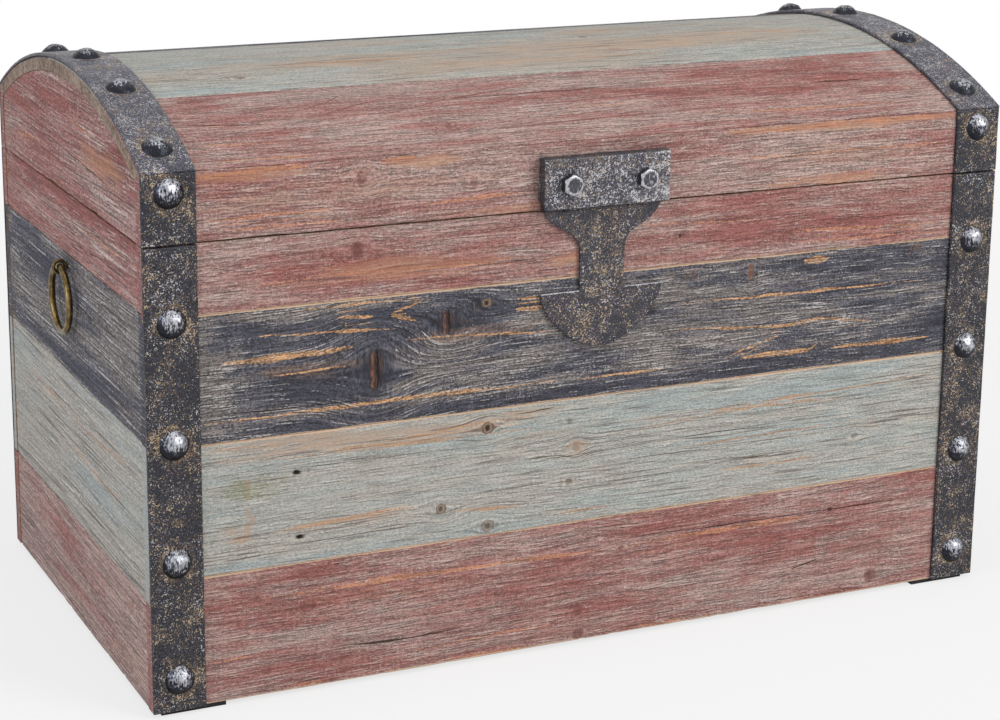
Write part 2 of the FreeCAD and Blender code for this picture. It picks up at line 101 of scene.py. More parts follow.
def on_arch(x, angle, radius):
    """Points about the axis of the lid's curve, at an angle from its crest."""
    return np.stack([x, MIDDLE_Y + radius * np.sin(angle), ARCH_CENTRE + radius * np.cos(angle)], -1)


def scaled(colour, amount):
    """A colour made darker or lighter, up to white."""
    return tuple(min(1.0, amount * part) for part in colour)


# Settings

class TrunkWood(bpy.types.PropertyGroup):
    """Paint and wear of the boards."""
    red: FloatVectorProperty(name="Red paint", description="Dusty red of the rails and outer boards",
                             subtype="COLOR", size=3, default=shade(166, 122, 116), min=0, max=1)
    red_deep: FloatVectorProperty(name="Deep red", description="Red where the coat is still thick",
                                  subtype="COLOR", size=3, default=shade(153, 99, 93), min=0, max=1)
    green: FloatVectorProperty(name="Green paint", description="Pale sage coat",
                               subtype="COLOR", size=3, default=shade(181, 180, 173), min=0, max=1)
    green_deep: FloatVectorProperty(name="Deep green", description="Blue-green where the coat is thick",
                                    subtype="COLOR", size=3, default=shade(169, 176, 173), min=0, max=1)
    blue: FloatVectorProperty(name="Blue paint", description="Charcoal blue coat",
                              subtype="COLOR", size=3, default=shade(93, 92, 100), min=0, max=1)
    blue_deep: FloatVectorProperty(name="Deep blue", description="Navy where the coat is thick",
                                   subtype="COLOR", size=3, default=shade(73, 73, 82), min=0, max=1)
    timber: FloatVectorProperty(name="Bare timber", description="Pine where the paint has gone",
                                subtype="COLOR", size=3, default=shade(196, 150, 112), min=0, max=1)
    arris: FloatProperty(name="Worn arris", description="How far the board edges are rubbed round",
                         subtype="DISTANCE", unit="LENGTH", default=0.0009, min=0.0002, max=0.004)
    relief: FloatProperty(name="Grain relief", description="Depth of the ridges left by wire brushing",
                          subtype="DISTANCE", unit="LENGTH", default=0.00022, min=0.0, max=0.001)
    pitch: FloatProperty(name="Grid pitch", description="Spacing of the mesh along the boards",
                         subtype="DISTANCE", unit="LENGTH", default=0.0032, min=0.001, max=0.02)


class TrunkIron(bpy.types.PropertyGroup):
    """Bands, studs and hasp."""
    black: FloatVectorProperty(name="Iron black", description="Charcoal coat of the bands and the hasp",
                               subtype="COLOR", size=3, default=shade(44, 44, 53), min=0, max=1)
    hasp: FloatVectorProperty(name="Hasp iron", description="Base of the hasp's iron",
                              subtype="COLOR", size=3, default=shade(60, 58, 67), min=0, max=1)
    gilt: FloatVectorProperty(name="Gilt fleck", description="Gold-beige flecks",
                              subtype="COLOR", size=3, default=shade(196, 172, 140), min=0, max=1)
    # Silver also paints the highlight along the hasp tongue's shoulders.
    silver: FloatVectorProperty(name="Silver fleck", description="Pale flecks and rubbed edges",
                                subtype="COLOR", size=3, default=shade(208, 207, 211), min=0, max=1)
    brass: FloatVectorProperty(name="Old brass", description="Ring pulls",
                               subtype="COLOR", size=3, default=shade(150, 128, 84), min=0, max=1)
    stud_radius: FloatProperty(name="Stud radius", description="Half the width of a stud",
                               subtype="DISTANCE", unit="LENGTH", default=0.0095, min=0.002, max=0.03)
    stud_height: FloatProperty(name="Stud height", description="How far a stud stands off its band",
                               subtype="DISTANCE", unit="LENGTH", default=0.006, min=0.001, max=0.02)
    dent: FloatProperty(name="Hammer dents", description="Depth of the hammer marks",
                        subtype="DISTANCE", unit="LENGTH", default=0.00035, min=0.0, max=0.002)
    seed: IntProperty(name="Seed", description="Turns the studs differently", default=7, min=0)


class TrunkStage(bpy.types.PropertyGroup):
    """Camera, lamps and floor."""
    eye: FloatVectorProperty(name="Eye", description="Where the camera stands", subtype="XYZ", unit="LENGTH",
                             size=3, default=(-0.70046, -1.50297, 0.63076))
    turn: FloatProperty(name="Turn", description="Camera heading from the trunk's depth", subtype="ANGLE",
                        default=math.radians(25.029))
    dip: FloatProperty(name="Dip", description="How far the camera looks down", subtype="ANGLE",
                       default=math.radians(14.264))
    roll: FloatProperty(name="Roll", description="Lean of the picture", subtype="ANGLE",
                        default=math.radians(0.59))
    lens: FloatProperty(name="Lens", description="Focal length in millimetres", default=86.816,
                        min=10, max=300)
    shift: FloatVectorProperty(name="Shift", description="Lens shift across and up", size=2,
                               default=(0.00724, -0.07735))
    key: FloatProperty(name="Key lamp", description="Soft box, front right", unit="POWER", default=38.0,
                       min=0)
    top: FloatProperty(name="Top lamp", description="Soft box overhead", unit="POWER", default=10.1, min=0)
    fill: FloatProperty(name="Side lamp", description="Soft box, left", unit="POWER", default=11.1, min=0)
    sky: FloatProperty(name="Room light", description="Even light from all round", default=0.42, min=0)
    floor: FloatVectorProperty(name="Floor", description="Colour of the floor", subtype="COLOR", size=3,
                               default=(0.86, 0.86, 0.86), min=0, max=1)


# Shared making

def noise(a, b, seed):
    """Smooth random field between 0 and 1 over two coordinates."""
    a, b = np.broadcast_arrays(np.asarray(a, float), np.asarray(b, float))
    low_a, low_b = np.floor(a), np.floor(b)
    part_a, part_b = a - low_a, b - low_b
    part_a = part_a * part_a * (3 - 2 * part_a)
    part_b = part_b * part_b * (3 - 2 * part_b)
    cell_a, cell_b = low_a.astype(np.int64), low_b.astype(np.int64)

    def corner(i, j):
        key = (i * 374761393 + j * 668265263 + int(seed) * 974711) & 0x7FFFFFFF
        key = ((key ^ (key >> 13)) * 1274126177) & 0x7FFFFFFF
        return ((key ^ (key >> 16)) & 0xFFFF) / 65535.0

    low = corner(cell_a, cell_b) * (1 - part_a) + corner(cell_a + 1, cell_b) * part_a
    high = corner(cell_a, cell_b + 1) * (1 - part_a) + corner(cell_a + 1, cell_b + 1) * part_a
    return low * (1 - part_b) + high * part_b


def ease(value, low, high):
    """Smooth step from 0 at low to 1 at high."""
    share = np.clip((value - low) / (high - low), 0, 1)
    return share * share * (3 - 2 * share)


def stations(low, high, pitch, rim):
    """Places along one side of a slab, close together near both edges."""
    rim = np.asarray(rim)
    count = max(2, int(round((high - low - 2 * rim[-1]) / pitch)) + 1)
    inner = np.linspace(low + rim[-1], high - rim[-1], count)
    return np.concatenate([low + rim[:-1], inner, high - rim[:-1][::-1]])


def add_attribute(mesh, name, values):
    """Stores one value, vector or colour for each point of a mesh."""
    values = np.asarray(values, np.float32)
    kind, field = {1: ("FLOAT", "value"), 3: ("FLOAT_VECTOR", "vector"), 4: ("FLOAT_COLOR", "color")}[
        1 if values.ndim == 1 else values.shape[1]]
    mesh.attributes.new(name, kind, "POINT").data.foreach_set(field, values.ravel())


def new_piece(name, mesh, material):
    """Puts a finished mesh in the scene at the origin."""
    piece = bpy.data.objects.new(name, mesh)
    bpy.context.scene.collection.objects.link(piece)
    mesh.materials.clear()
    mesh.materials.append(material)
    return piece


def hand_over(piece, body, slot, *nodes):
    """Makes a piece ride on its body and stand for its solids."""
    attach(piece, body)
    if nodes:
        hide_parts(*nodes)


def dress(nodes, material):
    """Gives solids that keep their own shape a finish."""
    for node in nodes:
        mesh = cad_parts[node].data
        mesh.materials.clear()
        mesh.materials.append(material)


def slab_mesh(name, along, across, depth, place, thick, fields, back_columns=2, end_kind=END_GRAIN):
    """A closed slab: a finely worked face, plain sides, ends and back.

    along and across are grids in millimetres, depth is how far each face point is sunk, place turns
    (along, across, depth) into points, and fields holds the point attributes of the face.
    """
    rows, columns = along.shape
    share = np.linspace(0, 1, back_columns)
    rear_across = across[:, :1] * (1 - share) + across[:, -1:] * share
    rear_along = np.repeat(along[:, :1], back_columns, 1)
    face = place(along, across, depth).reshape(-1, 3)
    back = place(rear_along, rear_across, np.full_like(rear_along, thick)).reshape(-1, 3)
    points = np.concatenate([face, back]) * MM
    index = np.arange(rows * columns).reshape(rows, columns)
    rear = rows * columns + np.arange(rows * back_columns).reshape(rows, back_columns)
    quads = [np.stack([index[:-1, :-1], index[1:, :-1], index[1:, 1:], index[:-1, 1:]], -1).reshape(-1, 4),
             np.stack([index[:-1, 0], rear[:-1, 0], rear[1:, 0], index[1:, 0]], -1),
             np.stack([index[:-1, -1], index[1:, -1], rear[1:, -1], rear[:-1, -1]], -1),
             np.stack([rear[:-1, :-1], rear[:-1, 1:], rear[1:, 1:], rear[1:, :-1]], -1).reshape(-1, 4)]
    faces = np.concatenate(quads).tolist()
    faces.append(index[0, :].tolist() + rear[0, ::-1].tolist())
    faces.append(index[-1, ::-1].tolist() + rear[-1, :].tolist())
    mesh = bpy.data.meshes.new(name)
    mesh.from_pydata(points.tolist(), [], faces)
    shell = bmesh.new()
    shell.from_mesh(mesh)
    bmesh.ops.recalc_face_normals(shell, faces=shell.faces)
    shell.to_mesh(mesh)
    shell.free()
    for key, (front, rear_value) in fields.items():
        front = front.reshape(rows, columns, -1)
        if rear_value is None:
            edge = front[:, :1] * (1 - share[:, None]) + front[:, -1:] * share[:, None]
        else:
            edge = np.broadcast_to(np.asarray(rear_value, float), (rows, back_columns, front.shape[2]))
        values = np.concatenate([front.reshape(rows * columns, -1), edge.reshape(rows * back_columns, -1)])
        add_attribute(mesh, key, values[:, 0] if values.shape[1] == 1 else values)
    bare = np.full(len(faces), BARE_SIDE, np.float32)
    bare[:len(quads[0])] = 0
    bare[-2:] = end_kind
    mesh.attributes.new("bare_side", "FLOAT", "FACE").data.foreach_set("value", bare)
    mesh.polygons.foreach_set("use_smooth", np.ones(len(mesh.polygons), bool))
    mesh.set_sharp_from_angle(angle=math.radians(48))
    return mesh


def millimetres(node):
    """Lowest and highest corner of a solid, in millimetres."""
    low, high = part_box(node)
    return np.array(low) / MM, np.array(high) / MM


# Board marks

# Marks that the eye catches on each board. Places are millimetres along and across the board.
# knots: place, half sizes, darkness, kind. streaks of bare wood, cracks and dark veins: points, half width.
# patches of one tone: place, half sizes, kind, amount.
# splits across the grain: place, ends, half width, kind.
# fade is dust over the whole board, and calm is how much lime it lacks.
BOARD_MARKS = {
    "front_plank_1": {
        "knots": [(220, 13.7, 4.8, 5.2, .9, "smudge"), (-11, 7.3, 4, 4, .8, "smudge"),
                  (-11.3, 23.8, 3.4, 3.4, .7, "smudge"), (20, 63.7, 2, 1.8, .8, "smudge"),
                  (-199, 58.1, 2, 2, .7, "smudge"), (178, 50, 2.2, 2.2, .5, "smudge"),
                  (184.7, 67.5, 2.2, 1.4, .8, "hole")],
        "streaks": [([(-237.6, 67.6), (-142, 66.7), (-69, 66.6), (26, 64.2)], 1.9),
                    ([(-215, 6.6), (-188, 5.3)], 1.4), ([(-111.6, 5.9), (-39, 4.2)], 1.1),
                    ([(20, 64.4), (105, 65.1), (184, 65.1)], 1.5), ([(-268, 29), (-235, 30.3)], .9),
                    ([(20, 6), (90, 5)], 1.2), ([(-140, 15), (-20, 18)], .6)],
        "cracks": [([(-182.5, 26.9), (-139.8, 24.5), (-96, 25.6)], .75),
                   ([(30, 70.5), (159.5, 67.6), (267.3, 67)], .45), ([(152, 28), (176, 32)], .5)],
        "patches": [(-200, 80, 40, 5, "full", .9), (150, 50, 60, 12, "full", .55),
                    (-150, 58, 90, 8, "amber", .4), (-180, 40, 100, 14, "dust", .6),
                    (60, 62, 60, 9, "amber", .4), (178, 42, 5, 12, "dust", .9)],
        "splits": [(179, 33, 38, .5, "dark")],
    },
    "front_plank_2": {
        "knots": [(-78.8, 159.9, 4.0, 4.0, 1, "eye"), (-111.4, 109.7, 3.4, 3.4, .9, "eye"),
                  (-78.1, 93.4, 4.4, 4.4, .7, "eye"), (-14.5, 139.6, 2.6, 3.6, .35, "eye"),
                  (200.7, 119.1, 2.2, 2.2, .5, "eye"), (-20, 116, 2.4, 2.4, .8, "smudge"),
                  (-20, 157, 2, 2, .8, "smudge"), (-209, 147.1, 3.0, 1.6, 1, "hole"),
                  (-207.4, 104.8, 3.0, 1.6, 1, "hole")],
        "streaks": [([(-223.2, 110.4), (-173.9, 112.5), (-121.1, 113.8)], 1.7),
                    ([(-106.5, 107), (-54.6, 105.1)], 1.1),
                    ([(-268.3, 162), (-213.5, 157.4), (-139.8, 159.7), (-91.5, 163.5), (-27.4, 164.4)], .8),
                    ([(-200.3, 156.3), (-105.4, 155.3), (-27.2, 155.5)], .7),
                    ([(17.1, 145.2), (123.8, 150.8), (195.9, 147.2)], .9),
                    ([(94.3, 108.5), (173.6, 108.8)], .8), ([(77.3, 151.6), (269.7, 157.3)], .7),
                    ([(-30, 95), (10, 96)], 1.2), ([(60, 128), (210, 131)], .7),
                    ([(-268, 168), (-200, 168)], .6)],
        "cracks": [([(-268, 118), (-200, 117)], .25), ([(-60, 166), (-30, 167)], .4),
                   ([(-230, 150), (-60, 148)], .2), ([(-40, 133), (90, 136), (160, 134)], .25),
                   ([(30, 112), (150, 115)], .25)],
        "splits": [(-14.5, 135, 144, 1.0, "amber"), (-241, 132, 147, 1.0, "amber"),
                   (-240, 108, 128, .8, "amber")],
        "patches": [(-238, 141, 22, 8, "moss", 1), (-247, 108.5, 8, 4, "amber", 1),
                    (-250, 116, 8, 6, "amber", .5), (130, 158, 110, 14, "full", 1),
                    (140, 125, 90, 14, "full", .55), (-150, 130, 90, 22, "dust", .35),
                    (-170, 112, 50, 4, "amber", .6), (-14, 139, 10, 6, "amber", .7),
                    (-150, 166, 150, 10, "dust", 1), (-150, 163, 140, 9, "amber", .75),
                    (-40, 152, 120, 5, "amber", .5), (215, 130, 8, 10, "amber", .4)],
    },
    "front_plank_3": {
        "knots": [(-107, 233.4, 7.5, 8.0, .95, "split"), (-155.5, 207.5, 9.0, 14, .95, "split"),
                  (-80.3, 242.9, 3.6, 3.0, .9, "eye"), (112.8, 244.5, 2.2, 6, .7, "smudge"),
                  (69.3, 248, 2.2, 3.6, .3, "smudge"), (244.6, 249.6, 2, 4, .4, "smudge")],
        "streaks": [([(-258.2, 222.4), (-206.2, 222.6), (-170, 223.6)], 2.5),
                    ([(-147.9, 241.4), (-121.6, 250)], 1.1), ([(-147.9, 241.4), (-127.7, 235.4)], 1.1),
                    ([(-183.1, 243.2), (-156, 242)], 1.8), ([(-221.4, 249.8), (-123, 250.6)], .8),
                    ([(-235.1, 236.7), (-141.9, 233.1)], .9),
                    ([(-271, 186.6), (-229.4, 185.9), (-139.9, 186), (-27.8, 186.1)], 1.2),
                    ([(-137.2, 224.2), (-85, 222.4), (-29.8, 219.1)], .9),
                    ([(42.8, 212.1), (134.7, 205), (168.6, 207.1), (214, 200.2)], 1.0),
                    ([(93.6, 186.6), (136.6, 197.9)], .9),
                    ([(105.2, 185.3), (161.7, 185.3), (169.4, 190.1)], 1.7),
                    ([(176, 185.8), (259.5, 184.6)], 1.5), ([(-16.9, 184.1), (51.1, 185.2)], 1.0),
                    ([(152.3, 247.7), (174.4, 248.4)], 2.2), ([(59.5, 227.3), (256.9, 225)], .9),
                    ([(-60, 243), (-34, 243)], 1.4), ([(-62, 236), (-34, 236)], 1.2),
                    ([(-225, 211), (-172, 213)], .5)],
        "cracks": [([(-268, 190), (-150, 189)], .3), ([(60, 222), (250, 219)], .3)],
        "splits": [(38, 223, 232, .8, "dark")],
        "calm": .18,
        "patches": [(-90, 203, 80, 17, "dust", 1), (100, 212, 150, 16, "dust", .9),
                    (250, 222, 40, 26, "dust", 1), (-262, 214, 22, 44, "dust", 1.2),
                    (-130, 235, 70, 16, "full", 1), (-185, 204, 55, 15, "full", 1),
                    (180, 243, 80, 9, "full", .6), (140, 196, 40, 7, "full", .7),
                    (0, 177, 270, 4.5, "full", 1), (-200, 249, 60, 5, "dust", .7),
                    (10, 246, 30, 10, "dust", .9), (78, 232, 46, 12, "dust", .9),
                    (48, 239, 24, 11, "dust", 1.4), (-48, 227, 20, 12, "dust", 1),
                    (-200, 213, 40, 7, "amber", .5), (-80, 224, 60, 6, "amber", .4)],
    },
    "front_plank_4": {
        "knots": [(-168.4, 285.4, 4.2, 5.6, 1, "smudge"), (58, 274, 1.2, 1.6, .8, "hole")],
        "streaks": [([(-238, 270), (-140, 271.3), (-43.5, 266)], .8), ([(-29, 252), (-12, 262)], 1.6),
                    ([(134, 269.9), (268, 264.9)], 1.0), ([(150, 262), (262, 259)], .8),
                    ([(30, 284), (120, 280)], .6)],
        "cracks": [([(140, 276), (262, 273)], .25), ([(-80, 290), (0, 291)], .2)],
        "patches": [(-150, 273, 100, 9, "amber", .8), (-24, 266, 16, 5, "amber", .9),
                    (-250, 280, 26, 30, "dust", .6), (150, 278, 110, 14, "full", .35),
                    (-170, 284, 20, 10, "full", .5)],
    },
    "lid_front_rail": {
        "fade": .35,
        "knots": [(-165, 330, 3.5, 6, .6, "smudge"), (-90, 322, 2.5, 4, .5, "smudge")],
        "streaks": [([(-268, 339), (-198, 340)], 2.4), ([(-154, 340), (-128, 341.5)], 2.2),
                    ([(-265, 311.4), (-186, 312)], 1.0), ([(-126.5, 310), (-44, 312.9)], .9),
                    ([(100, 322.6), (186, 321.6), (267, 320.5)], .9), ([(95, 339.5), (268, 340.6)], 1.6),
                    ([(-262, 305), (-150, 306)], .6)],
        "patches": [(-160, 322, 110, 16, "amber", .4), (-250, 338, 60, 5, "amber", .9),
                    (-120, 338, 30, 5, "amber", .8), (190, 340, 95, 5, "amber", 1),
                    (175, 303, 55, 4, "amber", .9), (-60, 303, 60, 4, "amber", .6),
                    (200, 320, 80, 8, "amber", .35), (-100, 328, 80, 12, "dust", .5),
                    (-250, 325, 30, 10, "full", .8), (150, 335, 100, 8, "dust", .6)],
    },
    "arch_board_1": {
        "knots": [(-98, arc(-23.5), 3, 5, .5, "smudge")],
        "streaks": [([(-261, arc(-24)), (-208, arc(-24.4))], .9),
                    ([(-253, arc(-20.6)), (-200, arc(-21.2))], .7),
                    ([(-15, arc(-22)), (59, arc(-21.9))], .7),
                    ([(-260, arc(-26.6)), (-190, arc(-26.8))], 1.4),
                    ([(80, arc(-25)), (250, arc(-25.5))], 1.0)],
        "cracks": [([(-262, arc(-20.2)), (-207, arc(-21.2))], .6),
                   ([(183, arc(-20.4)), (222, arc(-20.4))], .7),
                   ([(-100, arc(-18.6)), (60, arc(-18.2))], .35)],
        "patches": [(-245, arc(-16.5), 30, 10, "full", 1), (-225, arc(-23), 40, 12, "full", .7),
                    (-130, arc(-22), 90, 20, "dust", .9), (-140, arc(-16), 70, 10, "dust", .9),
                    (150, arc(-20), 150, 26, "full", 1.0), (60, arc(-25), 90, 6, "dust", .6),
                    (-60, arc(-19.5), 60, 5, "full", .6), (258, arc(-20), 14, 70, "dust", .8)],
        "fade": .35,
        "veins": [([(-171, arc(-13.6)), (-163, arc(-14.5)), (-152, arc(-16.2))], .5),
                  ([(-206, arc(-19.2)), (-184, arc(-18.9)), (-166, arc(-17.7)), (-152, arc(-16.2))], .5),
                  ([(-116, arc(-13.9)), (-107, arc(-15)), (-101, arc(-16.4))], .5),
                  ([(-188, arc(-20.8)), (-150, arc(-18.8)), (-123, arc(-17.8)), (-101, arc(-16.4))], .5),
                  ([(-138, arc(-20.9)), (-90, arc(-18.8)), (-51, arc(-17.6)), (-22, arc(-16.4))], .5),
                  ([(-20, arc(-21)), (60, arc(-20.4)), (150, arc(-21))], .5),
                  ([(-60, arc(-24.6)), (90, arc(-24))], .6)],
    },
    "arch_board_2": {
        "knots": [(-206.4, arc(-10.3), 3, 3, .7, "eye"), (60, arc(-3), 3, 3, .5, "eye")],
        "streaks": [([(-179, arc(-7.4)), (-67, arc(-7.3))], 1.6), ([(-40, arc(-11)), (120, arc(-10.6))], .8),
                    ([(90, arc(-5)), (240, arc(-5.4))], 1.0)],
        "patches": [(-130, arc(-8), 70, 10, "amber", .35), (30, arc(-7), 260, 60, "amber", .62),
                    (60, arc(-8), 120, 16, "dust", .4), (-200, arc(-6), 60, 20, "full", .5)],
    },
    "lid_left_end": {
        "streaks": [([(-96, 343.7), (7, 352.4)], 1.2), ([(-150, 318), (-20, 331)], .7),
                    ([(60, 322), (130, 318)], 1.0)],
        "cracks": [([(-120, 322), (60, 331)], .3)],
        "patches": [(70, 330, 50, 30, "dust", .3), (-70, 350, 40, 8, "lime", 1),
                    (-90, 335, 60, 12, "amber", .8), (0, 330, 150, 40, "full", .45),
                    (-110, 312, 40, 5, "lime", .9), (-110, 345, 30, 10, "full", 1),
                    (60, 350, 50, 10, "full", .6), (-20, 312, 120, 8, "dust", .5)],
    },
    "left_plank_4": {
        "streaks": [([(-163, 285), (-32, 282)], .8)],
        "cracks": [([(-150, 276), (0, 267)], .3)],
        "patches": [(-100, 277, 80, 5, "lime", .55), (60, 280, 60, 14, "dust", .7),
                    (-40, 290, 50, 8, "full", .8)],
    },
    "left_plank_3": {
        "calm": .45,
        "fade": .45,
        "cracks": [([(-100, 225), (60, 232)], .3)],
        "patches": [(90, 238, 80, 20, "full", .9), (-110, 220, 60, 24, "dust", .9),
                    (0, 184, 160, 6, "full", .9), (80, 205, 70, 8, "dust", .8),
                    (-90, 240, 70, 10, "lime", .7), (100, 240, 60, 16, "lime", .6),
                    (0, 196, 170, 3, "lime", 1)],
    },
    "left_plank_2": {
        "calm": .35,
        "fade": .7,
        "streaks": [([(-160, 152), (-20, 146), (120, 150)], .9), ([(-150, 120), (40, 126)], .7)],
        "cracks": [([(-120, 132), (100, 136)], .3), ([(-160, 100), (20, 108)], .25)],
        "patches": [(100, 150, 50, 18, "amber", .3), (-60, 110, 90, 18, "full", .6),
                    (60, 120, 60, 16, "dust", .5), (-60, 160, 90, 6, "lime", .5)],
    },
    "left_plank_1": {
        "fade": 1.2,
        "streaks": [([(-155, 60), (-40, 52)], .7)],
        "cracks": [([(-140, 30), (60, 44)], .3)],
        "patches": [(30, 50, 100, 12, "full", 1), (110, 30, 60, 26, "dust", .9),
                    (-120, 20, 60, 14, "amber", .4)],
    },
}
PATCH_KINDS = ("dust", "full", "amber", "moss", "lime")
KNOT_KINDS = ("smudge", "eye", "split", "hole")
# How far the lower and the upper edge of a board are kept from rubbing bare, in millimetres.
KEPT_EDGES = {"front_plank_1": (0, .35), "front_plank_2": (.5, .35), "front_plank_3": (.5, .3),
              "front_plank_4": (.5, 2.0), "lid_front_rail": (1.7, 2.6), "arch_board_1": (2.6, 2.3),
              "arch_board_2": (2.3, 2.3), "arch_board_3": (2.3, 2.3), "arch_board_4": (2.3, 2.6),
              "back_plank_4": (0, 2.0), "lid_back_rail": (1.7, 2.6)}


def guessed_marks(seed, low, high):
    """Ordinary marks for a board that no picture shows."""
    pick = np.random.default_rng(seed)
    span, rise = high - low

    def spot():
        return low[0] + span * pick.uniform(.08, .92), low[1] + rise * pick.uniform(.12, .88)

    marks = {"knots": [], "streaks": [], "cracks": [], "patches": []}
    for _ in range(pick.integers(1, 4)):
        marks["knots"].append((*spot(), pick.uniform(2.4, 4.5), pick.uniform(2.6, 6), pick.uniform(.5, 1),
                               KNOT_KINDS[pick.integers(0, 3)]))
    for _ in range(pick.integers(3, 6)):
        x, z = spot()
        reach = pick.uniform(.12, .3) * span
        ends = (max(low[0] + 8, x - reach), min(high[0] - 8, x + reach))
        points = [(ends[0], z), (x, z + pick.uniform(-1.5, 1.5)), (ends[1], z)]
        marks["streaks"].append((points, pick.uniform(.6, 1.6)))
    for _ in range(pick.integers(1, 3)):
        x, z = spot()
        reach = pick.uniform(.08, .2) * span
        ends = (max(low[0] + 8, x - reach), min(high[0] - 8, x + reach))
        marks["cracks"].append(([(ends[0], z), (ends[1], z + pick.uniform(-2, 2))], pick.uniform(.25, .6)))
    for _ in range(pick.integers(4, 8)):
        kind = PATCH_KINDS[pick.integers(0, 3)]
        marks["patches"].append((*spot(), span * pick.uniform(.08, .25), rise * pick.uniform(.1, .25), kind,
                                 pick.uniform(.3, .8)))
    return marks


def line_field(along, across, lines, seed):
    """Signed distance to the nearest line and that line's half width, both in millimetres."""
    best = np.full(along.shape, -99.0)
    away = np.full(along.shape, 9.0)
    width = np.full(along.shape, -4.0)
    for step, (points, half) in enumerate(lines):
        xs = [point[0] for point in points]
        zs = [point[1] for point in points]
        wander = noise(along / 16, 0, seed + step) - .5
        wander = wander + 1.4 * (noise(along / 70, 0, seed + 31 + step) - .5)
        gap = across - np.interp(along, xs, zs) - wander
        reach = np.minimum(along - xs[0], xs[-1] - along)
        swell = np.clip(reach / (.35 * (xs[-1] - xs[0])), 0, 1) ** .6
        swell = swell * (.45 + 1.1 * noise(along / 19, 0, seed + 67 + step))
        wide = np.where(reach > 0, half * swell, -2.0) - .6 * np.clip(np.abs(gap) - 3, 0, None)
        score = wide - np.abs(gap)
        take = score > best
        best = np.where(take, score, best)
        away = np.where(take, gap, away)
        width = np.where(take, wide, width)
    return away, width


def knot_fields(along, across, knots, grain):
    """Bends the grain round the knots and notes the place, darkness and kind of the nearest one."""
    nearest = np.full(along.shape, 3.0)
    knot = np.zeros((*along.shape, 3))
    kind = np.zeros(along.shape)
    hole = np.zeros(along.shape)
    for x, z, wide, high, dark, sort in knots:
        side, rise = along - x, across - z
        ring = np.hypot(side / wide, rise / high)
        if sort == "hole":
            hole = np.maximum(hole, 1 - ease(ring, .5, 1.1))
        else:
            pull = np.exp(-(side / (3.4 * wide)) ** 2 - (rise / (2.4 * high)) ** 2)
            grain = grain - (.4 if sort == "smudge" else .86) * rise * pull
        take = ring < nearest
        nearest = np.where(take, ring, nearest)
        spot = np.stack([side / wide, rise / high, dark * np.clip(3 - ring, 0, 1)], -1)
        knot = np.where(take[..., None], spot, knot)
        kind = np.where(take, KNOT_KINDS.index(sort), kind)
    return grain, nearest, knot, kind, hole


def tone_fields(along, across, marks, seed):
    """How much of each kind of patch lies on every point, and the dirt in the splits."""
    tone = {sort: np.zeros(along.shape) for sort in PATCH_KINDS}
    for step, (x, z, wide, high, sort, amount) in enumerate(marks.get("patches", ())):
        ring = np.hypot((along - x) / wide, (across - z) / high)
        ring = ring + .9 * (noise(along / (.35 * wide), across / (.35 * high), seed + 90 + step) - .5)
        tone[sort] = np.maximum(tone[sort], amount * (1 - ease(ring, .3, 1.25)))
    tone["dust"] = tone["dust"] + marks.get("fade", 0.0)
    tone["lime"] = tone["lime"] - marks.get("calm", 0.0)
    dirt = np.zeros(along.shape)
    for x, low, high, half, sort in marks.get("splits", ()):
        side = np.abs(along - x - 1.2 * (noise(across / 5, 0, seed + 55) - .5))
        inside = ease(across, low - 2, low + 2) * (1 - ease(across, high - 2, high + 2))
        stroke = inside * (1 - ease(side, half, half + 1.8))
        if sort == "amber":
            tone["amber"] = np.maximum(tone["amber"], stroke)
        else:
            dirt = np.maximum(dirt, .9 * stroke)
    return tone, dirt


def weather(along, across, rim, marks, seed, arris, relief, stretch):
    """Grain, wear and relief of one board over its grid, in millimetres."""
    grain = across + 3.4 * (noise(along / 170, across / 40, seed) - .5)
    grain = grain + 1.2 * (noise(along / 48, across / 13, seed + 1) - .5)
    grain, nearest, knot, kind, hole = knot_fields(along, across, marks.get("knots", ()), grain)
    tone, dirt = tone_fields(along, across, marks, seed)
    streak = line_field(along, across, marks.get("streaks", ()), seed + 200)
    crack = line_field(along, across, marks.get("cracks", ()), seed + 300)
    vein = line_field(along, across, marks.get("veins", ()), seed + 400)
    ridges = noise(along / 75, grain / 3.1, seed + 3) + .55 * noise(along / 26, grain / 1.5, seed + 4)
    depth = relief * ridges + .28 * noise(along / 150, across / 45, seed + 5)
    half = np.clip(crack[1], 0, 9)
    depth = depth + .55 * (1 - ease(np.abs(crack[0]), half + .3, half + 1.6)) * (crack[1] > 0)
    depth = depth + 1.8 * hole + .25 * (1 - ease(nearest, .7, 1.3)) * (1 - hole)
    nicks = ease(noise(along / 8, 0, seed + 12), .74, 1)
    worn = arris * (.55 + 1.0 * noise(along / 34, 0, seed + 11) + 1.5 * nicks)
    inside = np.clip(worn - rim, 0, None)
    depth = depth + worn - np.sqrt(np.clip(worn ** 2 - inside ** 2, 0, None))
    own_layer = np.full(along.shape, seed * 13.7)
    fields = {
        "grain": (np.stack([along / stretch, grain / stretch ** .4, own_layer], -1), None),
        "knot": (knot, (0, 0, 0)),
        "tone": (np.stack([tone["dust"], tone["full"], tone["amber"], tone["moss"]], -1), (0, 0, 0, 0)),
        "spots": (np.stack([tone["lime"], dirt, kind], -1), (0, 0, 0)),
    }
    for name, line in (("streak", streak), ("crack", crack), ("vein", vein)):
        fields[name] = (np.stack([*line, np.zeros(along.shape)], -1), (9, -4, 0))
    return np.clip(depth, 0, 3.2), fields


BOARD_RIM = (0, .22, .55, 1.0, 1.7, 2.7)


